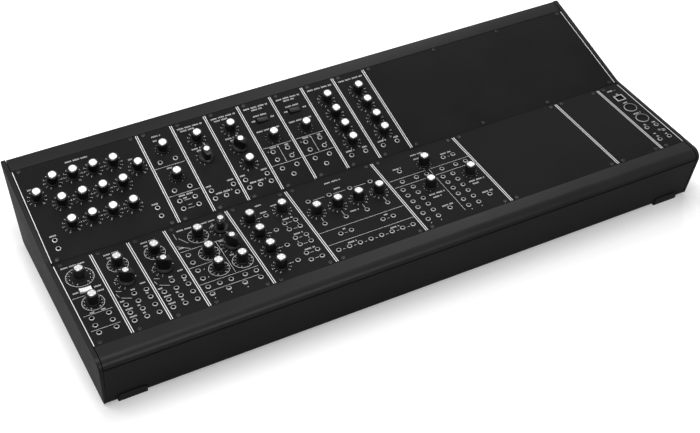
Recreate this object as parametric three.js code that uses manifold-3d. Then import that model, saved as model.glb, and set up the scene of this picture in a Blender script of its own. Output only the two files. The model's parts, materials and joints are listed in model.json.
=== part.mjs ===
// Modular synthesizer: nineteen modules in a two-row desktop case.
// Millimetres. X runs along the rows, Y to the rear, Z up. The origin is the centre of the footprint.

import * as THREE from 'three';
import { mergeVertices } from 'three/addons/utils/BufferGeometryUtils.js';
import Module from 'manifold-3d';

const wasm = await Module();
wasm.setup();

const { degToRad } = THREE.MathUtils;
const overrun = 1;
const rootShare = 0.5;
const weldTolerance = 1e-4;

// Rows of panels
const unitWidth = 5.08;
const rowUnits = 140;
const rowWidth = rowUnits * unitWidth;
const panelHeight = 128.5;
const panelThickness = 2;
const panelGap = 0.4;
const lowerTilt = degToRad(0);
const upperTilt = degToRad(15);
const meanTilt = (lowerTilt + upperTilt) / 2;
const rowGap = 3.45;
const rowDrop = 1;

// Case
const seam = 0.4;
const cheekThickness = 5.4;
const cheekFootThickness = 2.5;
const cheekRise = 0.8;
const cheekEdgeRound = 1.2;
const noseDepth = 24.9;
const frontEdgeHeight = 67.9;
const noseRadius = 10.5;
const kinkRadius = 14;
const cornerRadius = 3;
const frontFootRadius = 1.6;
const rearFootRadius = 6;
const frontLean = degToRad(9.7);
const rearLean = degToRad(12);
const rearBezelDepth = 20.4;
const bezelInset = 0.6;
const tubInset = 0.4;
const sheetWall = 1.6;
const bezelWall = 2;
const flangeDepth = 9;
const frontSeamHeight = 58;
const frontSeam = 0.6;
const rearSeamDrop = 9;
const noseSteps = 7;
const kinkSteps = 2;
const cornerSteps = 3;

// Feet
const footHeight = 2.2;
const footWidth = 31;
const footDepth = 26;
const footInset = 17.8;
const footSole = 1.6;
const footRise = 7.7;
const footArchFlat = 23;
const footArchSteps = 4;

// Rails
const railWidth = 9;
const railDepth = 11;
const railSlotWidth = 3.2;
const railSlotDepth = 5;
const lipWidth = 2.4;
const lipSink = 0.6;

// Panel screws
const screwEndInset = 3.2;
const screwSideInset = 7.5;
const screwRadius = 2.4;
const screwHeight = 0.6;
const screwSides = 6;

// Round knobs
const seatGap = 0.4;
const knobRadius = 6.2;
const fluteDepth = 0.45;
const fluteCount = 8;
const flangeRadius = 6.9;
const flangeThickness = 1.3;
const knobHeight = 12.7;
const capRadius = 4.3;
const capThickness = 0.7;
const shaftRadius = 3;
const shaftClearance = 0.5;
const shaftTail = 2.2;
const shaftSides = 6;
const shaftHoleSides = 8;
const flangeSides = 10;
const capSides = 8;

// Pointer knobs
const skirtRadius = 8.8;
const skirtTopRadius = 7.4;
const skirtThickness = 2.8;
const gripLength = 16;
const gripWidth = 9;
const gripTipWidth = 7.4;
const gripHeight = 15.5;
const pointerCapRadius = 3.2;
const pointerCapThickness = 0.6;
const skirtSides = 12;

// Rocker switches
const rockerLength = 12.4;
const rockerWidth = 6.2;
const rockerThickness = 2.4;
const rockerDish = 0.7;
const rockerClearance = 0.5;
const rockerSideClearance = 0.3;
const rockerShoulder = 0.6;
const rockerHousingWall = 1;
const rockerBody = 5.4;
const rockerPocketDepth = 4.2;
const rockerRest = degToRad(5);

// How far each control is turned about its own axis at rest: knobs on zero, at seven o'clock,
// and selectors on one of six positions that start there too
const controlRest = { knob: degToRad(-120), rocker: 0 };
const selectorStart = degToRad(-120);
const selectorStep = degToRad(-30);

// Sockets
const nutRadius = 2.7;
const nutSides = 6;
const nutHeight = 1.3;
const boreRadius = 1.85;
const boreSides = 5;
const boreDepth = 1.7;
const dinRingRadius = 7.9;
const dinRingWall = 0.7;
const dinRingHeight = 0.7;
const dinGroove = 1.2;
const dinGrooveDepth = 4;
const dinBodyWidth = 18;
const dinBodyDepth = 9;
const dinSides = 12;
const usbWidth = 12;
const usbHeight = 11;
const usbWall = 1.6;
const usbRise = 0.6;
const usbDepth = 7;
const usbTongueWidth = 5.6;
const usbTongueHeight = 3.2;

// Circuit boards
const boardThickness = 1.6;
const boardStandoff = 12;
const boardSideMargin = 3;
const boardEndMargin = 14;
const postWidth = 5;

// Power unit on the floor of the case
const busLength = 430;
const busWidth = 44;
const busSeatHeight = 6;
const busPostRadius = 2.5;
const busPostSides = 5;
const busHeaderColumns = 5;
const busHeaderLength = 25;
const busHeaderWidth = 8.6;
const busHeaderHeight = 9;
const converterLength = 60;
const converterWidth = 34;
const converterHeight = 20;

// Rear wall fittings
const fittingHeight = 46;
const powerSwitchPlace = 250;
const inletPlace = 280;
const inletRadius = 5.6;
const inletBore = 1.9;
const inletRise = 1.8;
const inletBoreDepth = 2.2;
const inletSides = 12;
const inletBoreSides = 6;
const powerRockerLength = 17;
const powerRockerWidth = 9.4;

// Modules from left to right, with the places of their controls as shares of the panel
const pairShares = [0.28, 0.72];
const tripleShares = [0.18, 0.5, 0.82];
const outerShares = [0.18, 0.82];
const lowRowShares = [0.123, 0.21];

const lowerModules = [
  {
    name: 'oscillator_driver',
    units: 8,
    loose: true,
    whiteRocker: true,
    knobShares: [[0.5, 0.781], [0.5, 0.46]],
    rockerShares: [[0.472, 0.613]],
    jackShares: gridShares(pairShares, [0.123, 0.21, 0.294]),
  },
  oscillator('oscillator_a'),
  oscillator('oscillator_b'),
  {
    name: 'large_oscillator',
    units: 14,
    screwColumns: 2,
    loose: true,
    knobShares: [[0.415, 0.806], [0.415, 0.573], [0.415, 0.367], [0.786, 0.367]],
    pointerShares: [[0.786, 0.806], [0.786, 0.573]],
    pointerSteps: [0, 4],
    jackShares: [
      ...gridShares([0.122], [0.621, 0.522, 0.416, 0.314]),
      ...gridShares([0.122, 0.302, 0.478, 0.696, 0.872], [0.208]),
      ...gridShares([0.122, 0.374, 0.626, 0.872], [0.121]),
    ],
  },
  {
    name: 'mixer',
    units: 14,
    screwColumns: 2,
    knobShares: [...gridShares([0.236], [0.78, 0.576, 0.371, 0.165]), [0.77, 0.78]],
    jackShares: [
      ...gridShares([0.5], [0.781, 0.577, 0.369, 0.165]),
      ...gridShares([0.676, 0.856], [0.62, 0.533, 0.416, 0.328, 0.21, 0.123]),
    ],
  },
  {
    name: 'attenuators',
    units: 21,
    screwColumns: 2,
    knobShares: gridShares([0.142, 0.38, 0.618, 0.856], [0.622]),
    jackShares: [
      ...gridShares([0.138, 0.377, 0.616, 0.853], [0.78, 0.464]),
      ...gridShares([0.211, 0.33, 0.687, 0.805], [0.293]),
      ...gridShares([0.084, 0.203, 0.322, 0.441, 0.56, 0.679, 0.798, 0.917], [0.123]),
    ],
  },
  {
    name: 'switch_matrix',
    units: 21,
    screwColumns: 2,
    loose: true,
    knobShares: [[0.497, 0.78], [0.375, 0.489], [0.852, 0.489]],
    jackShares: [
      ...gridShares([0.203, 0.733, 0.853], [0.782]),
      ...gridShares([0.148, 0.316, 0.437, 0.624, 0.792, 0.912], [0.649]),
      ...gridShares([0.091, 0.211, 0.567, 0.686], [0.549, 0.465, 0.379, 0.294, 0.209, 0.123]),
      ...gridShares([0.378, 0.853], [0.167]),
    ],
  },
  { name: 'blank_wide', units: 28, screwColumns: 2 },
  { name: 'blank_narrow', units: 12, screwColumns: 2 },
  {
    name: 'midi_interface',
    units: 6,
    usbShares: [[0.51, 0.804]],
    dinShares: [[0.497, 0.636], [0.497, 0.455]],
    jackShares: gridShares([0.27, 0.705], [0.314, 0.123]),
  },
];

const upperModules = [
  {
    name: 'filter_bank',
    units: 28,
    screwColumns: 2,
    knobShares: [
      ...gridShares([0.26, 0.42, 0.58, 0.74], [0.782, 0.546, 0.309]),
      ...gridShares([0.1, 0.9], [0.663]),
    ],
    jackShares: gridShares([0.095, 0.898], lowRowShares),
  },
  {
    name: 'dual_filter',
    units: 8,
    loose: true,
    knobShares: [[0.5, 0.779], [0.5, 0.458]],
    jackShares: gridShares([0.268, 0.708], [0.646, 0.325, 0.208, 0.123]),
  },
  {
    name: 'high_pass_filter',
    units: 8,
    loose: true,
    knobShares: [[0.5, 0.778]],
    pointerShares: [[0.5, 0.565]],
    pointerSteps: [5],
    jackShares: [...gridShares(outerShares, [0.21]), ...gridShares(tripleShares, [0.123])],
  },
  {
    name: 'low_pass_filter',
    units: 8,
    loose: true,
    knobShares: [[0.5, 0.778], [0.5, 0.365]],
    pointerShares: [[0.5, 0.565]],
    pointerSteps: [4],
    jackShares: [...gridShares(outerShares, [0.21]), ...gridShares(tripleShares, [0.123])],
  },
  amplifier('amplifier_a'),
  amplifier('amplifier_b'),
  envelope('envelope_a'),
  envelope('envelope_b'),
  { name: 'blank_long', units: 56, screwColumns: 4 },
];

function gridShares(columnShares, rowShares) {
  return rowShares.flatMap((row) => columnShares.map((column) => [column, row]));
}

function oscillator(name) {
  return {
    name,
    units: 8,
    loose: true,
    knobShares: [[0.5, 0.781]],
    pointerShares: [[0.5, 0.569]],
    pointerSteps: [3],
    jackShares: [...gridShares([0.5, 0.82], [0.405]), ...gridShares(tripleShares, [0.312, 0.217, 0.122])],
  };
}

function amplifier(name) {
  return {
    name,
    units: 8,
    loose: true,
    knobShares: [[0.5, 0.555]],
    rockerShares: [[0.475, 0.77]],
    jackShares: [...gridShares(pairShares, [0.404, 0.312, 0.21]), [0.5, 0.123]],
  };
}

function envelope(name) {
  return {
    name,
    units: 8,
    knobShares: gridShares([0.5], [0.777, 0.598, 0.418, 0.257]),
    jackShares: gridShares(pairShares, [0.123]),
  };
}

// Finishes
function finish(color, roughness, metalness) {
  return new THREE.MeshStandardMaterial({ color, roughness, metalness });
}

const finishes = {
  panel: () => finish(0x232323, 0.55, 0.3),
  case: () => finish(0x2b2b2b, 0.6, 0.3),
  rail: () => finish(0x1a1a1a, 0.45, 0.7),
  knob: () => finish(0x101010, 0.4, 0),
  whiteRocker: () => finish(0xf4f4f2, 0.4, 0),
  rubber: () => finish(0x0c0c0c, 0.9, 0),
  board: () => finish(0x12351f, 0.6, 0),
};

// Solids
function solidOf(geometry) {
  const plain = geometry.clone();
  plain.deleteAttribute('normal');
  plain.deleteAttribute('uv');
  const welded = mergeVertices(plain, weldTolerance);
  const mesh = new wasm.Mesh({
    numProp: 3,
    vertProperties: new Float32Array(welded.attributes.position.array),
    triVerts: new Uint32Array(welded.index.array),
  });
  mesh.merge();
  return new wasm.Manifold(mesh);
}

function geometryOf(solid) {
  const mesh = solid.getMesh();
  const geometry = new THREE.BufferGeometry();
  geometry.setAttribute('position', new THREE.BufferAttribute(new Float32Array(mesh.vertProperties), 3));
  geometry.setIndex(new THREE.BufferAttribute(new Uint32Array(mesh.triVerts), 1));
  geometry.computeVertexNormals();
  return geometry;
}

function joined(geometries) {
  return geometries.map(solidOf).reduce((whole, piece) => whole.add(piece));
}

function cut(solid, tools) {
  return tools.map(solidOf).reduce((whole, tool) => whole.subtract(tool), solid);
}

// Each shape stands on the plane of X and Y and fills the height between low and high
function block(width, depth, x, y, low, high) {
  return new THREE.BoxGeometry(width, depth, high - low).translate(x, y, (low + high) / 2);
}

function drum(lowRadius, highRadius, sides, x, y, low, high) {
  const geometry = new THREE.CylinderGeometry(highRadius, lowRadius, high - low, sides);
  return geometry.rotateX(Math.PI / 2).translate(x, y, (low + high) / 2);
}

function prism(points, low, high) {
  const shape = new THREE.Shape(points);
  return new THREE.ExtrudeGeometry(shape, { depth: high - low, bevelEnabled: false }).translate(0, 0, low);
}

// Lays a profile drawn in Y and Z so that it is extruded along X
function alongX(side) {
  return new THREE.Matrix4().makeBasis(
    new THREE.Vector3(0, 1, 0),
    new THREE.Vector3(0, 0, 1),
    new THREE.Vector3(side, 0, 0),
  );
}

function barAlongX(points, length) {
  return prism(points, -length / 2, length / 2).applyMatrix4(alongX(1));
}

// Lines and outlines in the plane of the case's side, Y to the right and Z up
function vector(y, z) {
  return new THREE.Vector2(y, z);
}

function heading(tilt) {
  return vector(Math.cos(tilt), Math.sin(tilt));
}

function rightOf(direction) {
  return vector(direction.y, -direction.x);
}

function pointAt(frame, along, above) {
  const point = heading(frame.tilt).multiplyScalar(along).add(frame.origin);
  return point.addScaledVector(rightOf(heading(frame.tilt)), -above);
}

function inset(line, distance) {
  const point = line.point.clone().addScaledVector(rightOf(line.direction), distance);
  return { point, direction: line.direction };
}

function crossing(first, second) {
  const span = second.point.clone().sub(first.point);
  const reach = span.cross(second.direction) / first.direction.cross(second.direction);
  return first.point.clone().addScaledVector(first.direction, reach);
}

function atHeight(line, height) {
  return crossing(line, { point: vector(0, height), direction: vector(1, 0) });
}

function across(line, point, distance) {
  return point.clone().addScaledVector(rightOf(line.direction), distance);
}

function fillet(first, second, radius, steps) {
  const turn = Math.atan2(first.direction.cross(second.direction), first.direction.dot(second.direction));
  const corner = crossing(first, second);
  const start = corner.clone().addScaledVector(first.direction, -radius * Math.tan(Math.abs(turn) / 2));
  const centre = start.clone().addScaledVector(rightOf(first.direction), -Math.sign(turn) * radius);
  const points = [];
  for (let step = 0; step <= steps; step += 1) {
    points.push(start.clone().rotateAround(centre, (turn * step) / steps));
  }
  return points;
}

// Row frames on the top faces of the panels
const lowerFrame = { origin: vector(noseDepth, frontEdgeHeight), tilt: lowerTilt };
const upperFrame = {
  origin: pointAt(lowerFrame, panelHeight, 0)
    .addScaledVector(heading(meanTilt), rowGap)
    .addScaledVector(rightOf(heading(meanTilt)), rowDrop),
  tilt: upperTilt,
};

// Faces of the case, in order round the side, each with the inside on its right
const lowerDeck = { point: pointAt(lowerFrame, 0, cheekRise), direction: heading(lowerTilt) };
const upperDeck = { point: pointAt(upperFrame, 0, cheekRise), direction: heading(upperTilt) };
const upright = vector(0, 1);
const noseCentre = crossing(inset(lowerDeck, noseRadius), { point: vector(noseRadius, 0), direction: upright });
const frontUp = vector(-Math.sin(frontLean), Math.cos(frontLean));
const frontWall = {
  point: noseCentre.clone().addScaledVector(rightOf(frontUp), -noseRadius),
  direction: frontUp,
};
const deckLength = panelHeight + panelGap + rearBezelDepth;
const rearWall = {
  point: pointAt(upperFrame, deckLength, cheekRise),
  direction: vector(-Math.sin(rearLean), -Math.cos(rearLean)),
};
const base = { point: vector(0, footHeight), direction: vector(-1, 0) };

// The outline of the cheeks
const cheekOutline = [
  ...fillet(frontWall, lowerDeck, noseRadius, noseSteps),
  ...fillet(lowerDeck, upperDeck, kinkRadius, kinkSteps),
  ...fillet(upperDeck, rearWall, cornerRadius, cornerSteps),
  ...fillet(rearWall, base, rearFootRadius, cornerSteps),
  ...fillet(base, frontWall, frontFootRadius, cornerSteps),
];
const cheekBox = new THREE.Box2().setFromPoints(cheekOutline);
const caseMiddle = cheekBox.getCenter(new THREE.Vector2()).x;
const caseDepth = cheekBox.getSize(new THREE.Vector2()).x;

// The outer faces of the cheeks lean in towards the base
function leanIn(corner) {
  const rise = (corner[1] - footHeight) / (cheekBox.max.y - footHeight);
  corner[2] *= THREE.MathUtils.lerp(cheekFootThickness, cheekThickness, rise) / cheekThickness;
}

// Side cheeks, with only the outer edge rounded
function cheekSolid() {
  const plate = new THREE.ExtrudeGeometry(new THREE.Shape(cheekOutline), {
    depth: cheekThickness - cheekEdgeRound,
    bevelThickness: cheekEdgeRound,
    bevelSize: cheekEdgeRound,
    bevelOffset: -cheekEdgeRound,
    bevelSegments: 2,
  });
  const innerEdge = block(2 * caseDepth, caseDepth, caseMiddle, caseDepth / 2, -cheekThickness, 0);
  return cut(solidOf(plate), [innerEdge]).warp(leanIn);
}

// Walls of the bezels and the tub, a little inside the cheeks' outline
const rearSkin = inset(rearWall, bezelInset);
const tubFront = inset(frontWall, tubInset);
const rearSeamHeight = rearWall.point.y - rearSeamDrop;

function squareTo(frame, along) {
  return { point: pointAt(frame, along, 0), direction: rightOf(heading(frame.tilt)) };
}

// Front bezel: one strip from the lower row round the nose to the seam, with a lip behind the seam
function frontBezel() {
  const lower = inset(lowerDeck, bezelInset);
  const nose = { point: vector(bezelInset, 0), direction: upright };
  const edge = crossing(lower, squareTo(lowerFrame, -panelGap));
  const lipTop = frontSeamHeight + bezelWall;
  return [
    vector(bezelInset, frontSeamHeight),
    ...fillet(nose, lower, noseRadius - bezelInset, noseSteps),
    edge,
    across(lower, edge, bezelWall),
    crossing(inset(lower, bezelWall), { point: vector(noseRadius, 0), direction: upright }),
    vector(bezelInset + bezelWall, lipTop),
    vector(flangeDepth, lipTop),
    vector(flangeDepth, frontSeamHeight),
  ];
}

// Rear bezel: an angle from the upper row over the rear corner down to its seam
function rearBezel() {
  const upper = inset(upperDeck, bezelInset);
  const edge = crossing(upper, squareTo(upperFrame, panelHeight + panelGap));
  const seamPoint = atHeight(rearSkin, rearSeamHeight);
  return [
    edge,
    ...fillet(upper, rearSkin, cornerRadius - bezelInset, cornerSteps),
    seamPoint,
    across(rearSkin, seamPoint, bezelWall),
    crossing(inset(upper, bezelWall), inset(rearSkin, bezelWall)),
    across(upper, edge, bezelWall),
  ];
}

// Tub: folded sheet with a flange along the top of each wall
function tubProfile() {
  const frontTop = atHeight(tubFront, frontSeamHeight - frontSeam);
  const rearTop = atHeight(rearSkin, rearSeamHeight - seam);
  const [frontInner, rearInner, floor] = [tubFront, rearSkin, base].map((face) => inset(face, sheetWall));
  const rearFlange = across(rearSkin, rearTop, flangeDepth);
  return [
    frontTop,
    vector(flangeDepth, frontTop.y),
    vector(flangeDepth, frontTop.y - sheetWall),
    atHeight(frontInner, frontTop.y - sheetWall),
    crossing(floor, frontInner),
    crossing(rearInner, floor),
    across(rearSkin, rearTop, sheetWall).addScaledVector(rearWall.direction, sheetWall),
    rearFlange.clone().addScaledVector(rearWall.direction, sheetWall),
    rearFlange,
    rearTop,
    ...fillet(rearSkin, base, rearFootRadius, cornerSteps),
    ...fillet(base, tubFront, frontFootRadius, cornerSteps),
  ];
}

// A frame on the outside of the rear wall: X to the left seen from behind, Y up the wall, Z outwards
function rearWallFrame(place) {
  const spot = atHeight(rearSkin, fittingHeight);
  const outwards = rightOf(rearWall.direction);
  const wallUp = new THREE.Vector3(0, -rearWall.direction.x, -rearWall.direction.y);
  const outward = new THREE.Vector3(0, -outwards.x, -outwards.y);
  const sideways = new THREE.Vector3().crossVectors(wallUp, outward);
  return new THREE.Matrix4().makeBasis(sideways, wallUp, outward).setPosition(-place, spot.x, spot.y);
}

// The tub with the collar of the power inlet and the housing of the power switch on its rear wall
function tub() {
  const root = -sheetWall * rootShare;
  const inlet = rearWallFrame(inletPlace);
  const housing = rearWallFrame(powerSwitchPlace);
  const collar = drum(inletRadius, inletRadius, inletSides, 0, 0, root, inletRise);
  const bore = drum(inletBore, inletBore, inletBoreSides, 0, 0, inletRise - inletBoreDepth, inletRise + overrun);
  const shell = joined([
    barAlongX(tubProfile(), rowWidth),
    collar.applyMatrix4(inlet),
    rockerHousing(powerRockerLength, powerRockerWidth, 0, 0, root).applyMatrix4(housing),
  ]);
  return cut(shell, [
    bore.applyMatrix4(inlet),
    rockerPocket(powerRockerLength, powerRockerWidth, 0, 0).applyMatrix4(housing),
  ]);
}

// Rails: slotted bars under the ends of the panels
const railTop = -panelThickness - seatGap;
const railBottom = railTop - railDepth;

function slotPoints(frame, slot) {
  const half = railSlotWidth / 2;
  return [
    pointAt(frame, slot - half, railTop),
    pointAt(frame, slot - half, railTop - railSlotDepth),
    pointAt(frame, slot + half, railTop - railSlotDepth),
    pointAt(frame, slot + half, railTop),
  ];
}

function endRail(frame, near, slot) {
  return [
    pointAt(frame, near, railTop),
    ...slotPoints(frame, slot),
    pointAt(frame, near + railWidth, railTop),
    pointAt(frame, near + railWidth, railBottom),
    pointAt(frame, near, railBottom),
  ];
}

// The middle rail carries both rows, and its lip fills the gap between them
function middleRail() {
  const lipMargin = (rowGap - lipWidth) / 2;
  const lowerFloor = { point: pointAt(lowerFrame, 0, railBottom), direction: heading(lowerTilt) };
  const upperFloor = { point: pointAt(upperFrame, 0, railBottom), direction: heading(upperTilt) };
  return [
    pointAt(lowerFrame, panelHeight - railWidth, railTop),
    ...slotPoints(lowerFrame, panelHeight - screwEndInset),
    pointAt(lowerFrame, panelHeight + lipMargin, railTop),
    pointAt(lowerFrame, panelHeight + lipMargin, -lipSink),
    pointAt(upperFrame, -lipMargin, -lipSink),
    pointAt(upperFrame, -lipMargin, railTop),
    ...slotPoints(upperFrame, screwEndInset),
    pointAt(upperFrame, railWidth, railTop),
    pointAt(upperFrame, railWidth, railBottom),
    crossing(lowerFloor, upperFloor),
    pointAt(lowerFrame, panelHeight - railWidth, railBottom),
  ];
}

// Feet: a sole under the case and a toe that wraps up the wall, arched at its top
function foot(wall, direction) {
  const outer = inset(wall, -footSole);
  const inner = inset(wall, -seatGap);
  const toeTop = footHeight + footRise;
  const soleTop = footHeight - seatGap;
  const heel = atHeight(outer, 0).x + direction * footDepth;
  const profile = [
    atHeight(outer, 0),
    atHeight(outer, toeTop),
    atHeight(inner, toeTop),
    atHeight(inner, soleTop),
    vector(heel, soleTop),
    vector(heel - direction * footSole, 0),
  ];
  const arch = new THREE.Shape();
  arch.moveTo(-footWidth / 2, -overrun);
  arch.lineTo(footWidth / 2, -overrun);
  arch.lineTo(footWidth / 2, soleTop);
  arch.quadraticCurveTo(footWidth / 2, toeTop, footArchFlat / 2, toeTop);
  arch.lineTo(-footArchFlat / 2, toeTop);
  arch.quadraticCurveTo(-footWidth / 2, toeTop, -footWidth / 2, soleTop);
  const window = new THREE.ExtrudeGeometry(arch, {
    depth: 2 * caseDepth,
    bevelEnabled: false,
    curveSegments: footArchSteps,
  });
  window.rotateX(Math.PI / 2).translate(0, caseMiddle + caseDepth, 0);
  return solidOf(barAlongX(profile, footWidth)).intersect(solidOf(window));
}

// Power unit: a bus board on posts with headers and a converter block
function powerUnit() {
  const boardTop = busSeatHeight + boardThickness;
  const root = boardTop - boardThickness * rootShare;
  const pieces = [block(busLength, busWidth, 0, 0, busSeatHeight, boardTop)];
  for (const x of [-busLength / 2 + busPostRadius, busLength / 2 - busPostRadius]) {
    for (const y of [-busWidth / 2 + busPostRadius, busWidth / 2 - busPostRadius]) {
      pieces.push(drum(busPostRadius, busPostRadius, busPostSides, x, y, 0, root));
    }
  }
  const headerPitch = busLength / (busHeaderColumns + 1);
  for (let column = 1; column <= busHeaderColumns; column += 1) {
    const x = column * headerPitch - busLength / 2;
    for (const y of [-busWidth / 4, busWidth / 4]) {
      pieces.push(block(busHeaderLength, busHeaderWidth, x, y, root, busSeatHeight + busHeaderHeight));
    }
  }
  const converterX = (busLength + converterLength) / 2 - busPostRadius;
  pieces.push(block(converterLength, converterWidth, converterX, 0, root, root + converterHeight));
  return joined(pieces);
}

// Knobs, standing on a panel's face
function flutedOutline() {
  const points = [];
  const count = fluteCount * 2;
  for (let step = 0; step < count; step += 1) {
    const radius = step % 2 === 0 ? knobRadius : knobRadius - fluteDepth;
    const angle = (Math.PI * 2 * step) / count;
    points.push(vector(radius * Math.cos(angle), radius * Math.sin(angle)));
  }
  return points;
}

function roundKnob() {
  const flangeTop = seatGap + flangeThickness;
  return joined([
    drum(flangeRadius, flangeRadius - fluteDepth, flangeSides, 0, 0, seatGap, flangeTop),
    prism(flutedOutline(), flangeTop - flangeThickness * rootShare, knobHeight),
    drum(capRadius, capRadius, capSides, 0, 0, knobHeight - overrun, knobHeight + capThickness),
    drum(shaftRadius, shaftRadius, shaftSides, 0, 0, -shaftTail, flangeTop),
  ]);
}

// A knob that is one piece with its panel, for the modules whose controls don't have nodes
function fixedKnob(x, y) {
  const root = -panelThickness * rootShare;
  return [
    drum(flangeRadius, knobRadius, capSides, x, y, root, knobHeight),
    drum(capRadius, capRadius, capSides, x, y, knobHeight - overrun, knobHeight + capThickness),
  ];
}

function gripOutline() {
  const half = gripLength / 2;
  return [
    vector(-half, -gripTipWidth / 2),
    vector(0, -gripWidth / 2),
    vector(half, -gripTipWidth / 2),
    vector(half, gripTipWidth / 2),
    vector(0, gripWidth / 2),
    vector(-half, gripTipWidth / 2),
  ];
}

function pointerKnob() {
  const skirtTop = seatGap + skirtThickness;
  const root = skirtTop - skirtThickness * rootShare;
  const capTop = gripHeight + pointerCapThickness;
  return joined([
    drum(skirtRadius, skirtTopRadius, skirtSides, 0, 0, seatGap, skirtTop),
    prism(gripOutline(), root, gripHeight),
    drum(pointerCapRadius, pointerCapRadius, capSides, 0, 0, gripHeight - overrun, capTop),
    drum(shaftRadius, shaftRadius, shaftSides, 0, 0, -shaftTail, skirtTop),
  ]);
}

// Rocker switches: a dished top on a body whose corners clear the pocket as it rocks about Y
function rocker(length, width) {
  const half = length / 2;
  const profile = [
    vector(-half, rockerThickness),
    vector(-half, -rockerShoulder),
    vector(-rockerBody / 2, -rockerThickness),
    vector(rockerBody / 2, -rockerThickness),
    vector(half, -rockerShoulder),
    vector(half, rockerThickness),
    vector(0, rockerThickness - rockerDish),
  ];
  return joined([prism(profile, -width / 2, width / 2).rotateX(Math.PI / 2)]);
}

function rockerPocket(length, width, x, y) {
  const pocketLength = length + 2 * rockerClearance;
  const pocketWidth = width + 2 * rockerSideClearance;
  return block(pocketLength, pocketWidth, x, y, -rockerPocketDepth, overrun);
}

function rockerHousing(length, width, x, y, root) {
  const wall = 2 * (rockerClearance + rockerHousingWall);
  return block(length + wall, width + wall, x, y, -rockerPocketDepth - rockerHousingWall, root);
}

// Screws and sockets
function screw(x, y) {
  return drum(screwRadius, screwRadius, screwSides, x, y, -panelThickness * rootShare, screwHeight);
}

function nut(x, y) {
  return drum(nutRadius, nutRadius, nutSides, x, y, -panelThickness * rootShare, nutHeight);
}

function nutBore(x, y) {
  return drum(boreRadius, boreRadius, boreSides, x, y, -boreDepth, nutHeight + overrun);
}

function dinSocket(x, y) {
  const root = -panelThickness * rootShare;
  return [
    block(dinBodyWidth, dinBodyWidth, x, y, -dinBodyDepth, root),
    drum(dinRingRadius, dinRingRadius, dinSides, x, y, root, dinRingHeight),
  ];
}

function dinCut(x, y) {
  const outer = dinRingRadius - dinRingWall;
  const core = outer - dinGroove;
  const groove = drum(outer, outer, dinSides, x, y, -dinGrooveDepth, dinRingHeight + overrun);
  return solidOf(groove).subtract(solidOf(drum(core, core, dinSides, x, y, -dinBodyDepth, 0)));
}

function usbSocket(x, y) {
  return block(usbWidth, usbHeight, x, y, -usbDepth, usbRise);
}

function usbCut(x, y) {
  const cavity = block(usbWidth - 2 * usbWall, usbHeight - 2 * usbWall, x, y, usbWall - usbDepth, usbRise + overrun);
  return solidOf(cavity).subtract(solidOf(block(usbTongueWidth, usbTongueHeight, x, y, -usbDepth, -panelThickness)));
}

// The circuit board that hangs behind a panel on two posts
function circuitBoard(width) {
  const boardTop = -panelThickness - boardStandoff;
  const boardWidth = width - 2 * boardSideMargin;
  const boardLength = panelHeight - 2 * boardEndMargin;
  const pieces = [block(boardWidth, boardLength, width / 2, panelHeight / 2, boardTop - boardThickness, boardTop)];
  for (const y of [boardEndMargin + postWidth, panelHeight - boardEndMargin - postWidth]) {
    const foot = boardTop - boardThickness * rootShare;
    pieces.push(block(postWidth, postWidth, width / 2, y, foot, -panelThickness * rootShare));
  }
  return pieces;
}

function screwSpots(columns, width) {
  const pitch = columns > 1 ? (width - 2 * screwSideInset) / (columns - 1) : 0;
  const spots = [];
  for (let column = 0; column < columns; column += 1) {
    for (const y of [screwEndInset, panelHeight - screwEndInset]) {
      spots.push([screwSideInset + column * pitch, y]);
    }
  }
  return spots;
}

// A module: its face, screws, sockets, fixed knobs and circuit board
function modulePanel(module) {
  const width = module.units * unitWidth;
  const spots = (shares = []) => shares.map(([x, y]) => [x * width, y * panelHeight]);
  const jacks = spots(module.jackShares);
  const knobs = spots(module.knobShares);
  const rockers = spots(module.rockerShares);
  const dins = spots(module.dinShares);
  const ports = spots(module.usbShares);
  const pieces = [
    block(width - panelGap, panelHeight, width / 2, panelHeight / 2, -panelThickness, 0),
    ...screwSpots(module.screwColumns ?? 1, width).map((spot) => screw(...spot)),
    ...jacks.map((spot) => nut(...spot)),
    ...rockers.map((spot) => rockerHousing(rockerLength, rockerWidth, ...spot, -panelThickness * rootShare)),
    ...dins.flatMap((spot) => dinSocket(...spot)),
    ...ports.map((spot) => usbSocket(...spot)),
  ];
  if (jacks.length > 0) {
    pieces.push(...circuitBoard(width));
  }
  const tools = [
    ...jacks.map((spot) => nutBore(...spot)),
    ...rockers.map((spot) => rockerPocket(rockerLength, rockerWidth, ...spot)),
  ];
  if (module.loose) {
    tools.push(...[...knobs, ...spots(module.pointerShares)].map((spot) => shaftHole(...spot)));
  } else {
    pieces.push(...knobs.flatMap((spot) => fixedKnob(...spot)));
  }
  const hollows = [...dins.map((spot) => dinCut(...spot)), ...ports.map((spot) => usbCut(...spot))];
  return hollows.reduce((whole, hollow) => whole.subtract(hollow), cut(joined(pieces), tools));
}

function shaftHole(x, y) {
  const radius = shaftRadius + shaftClearance;
  return drum(radius, radius, shaftHoleSides, x, y, -panelThickness - overrun, overrun);
}

// Assembly
const synthesizer = new THREE.Group();
const caseGroup = new THREE.Group();
caseGroup.position.set(0, -caseMiddle, 0);
synthesizer.add(caseGroup);

function addMesh(group, name, solid, material) {
  const mesh = new THREE.Mesh(geometryOf(solid), material());
  mesh.name = name;
  group.add(mesh);
  return mesh;
}

function addBar(name, profile, material) {
  addMesh(caseGroup, name, joined([barAlongX(profile, rowWidth)]), material);
}

function addCheek(name, side) {
  const place = alongX(side).setPosition(side * (rowWidth / 2 + seam), 0, 0);
  const geometry = geometryOf(cheekSolid()).applyMatrix4(place);
  if (side < 0) {
    turnFaces(geometry.index.array);
  }
  addMesh(caseGroup, name, solidOf(geometry), finishes.case);
}

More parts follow.
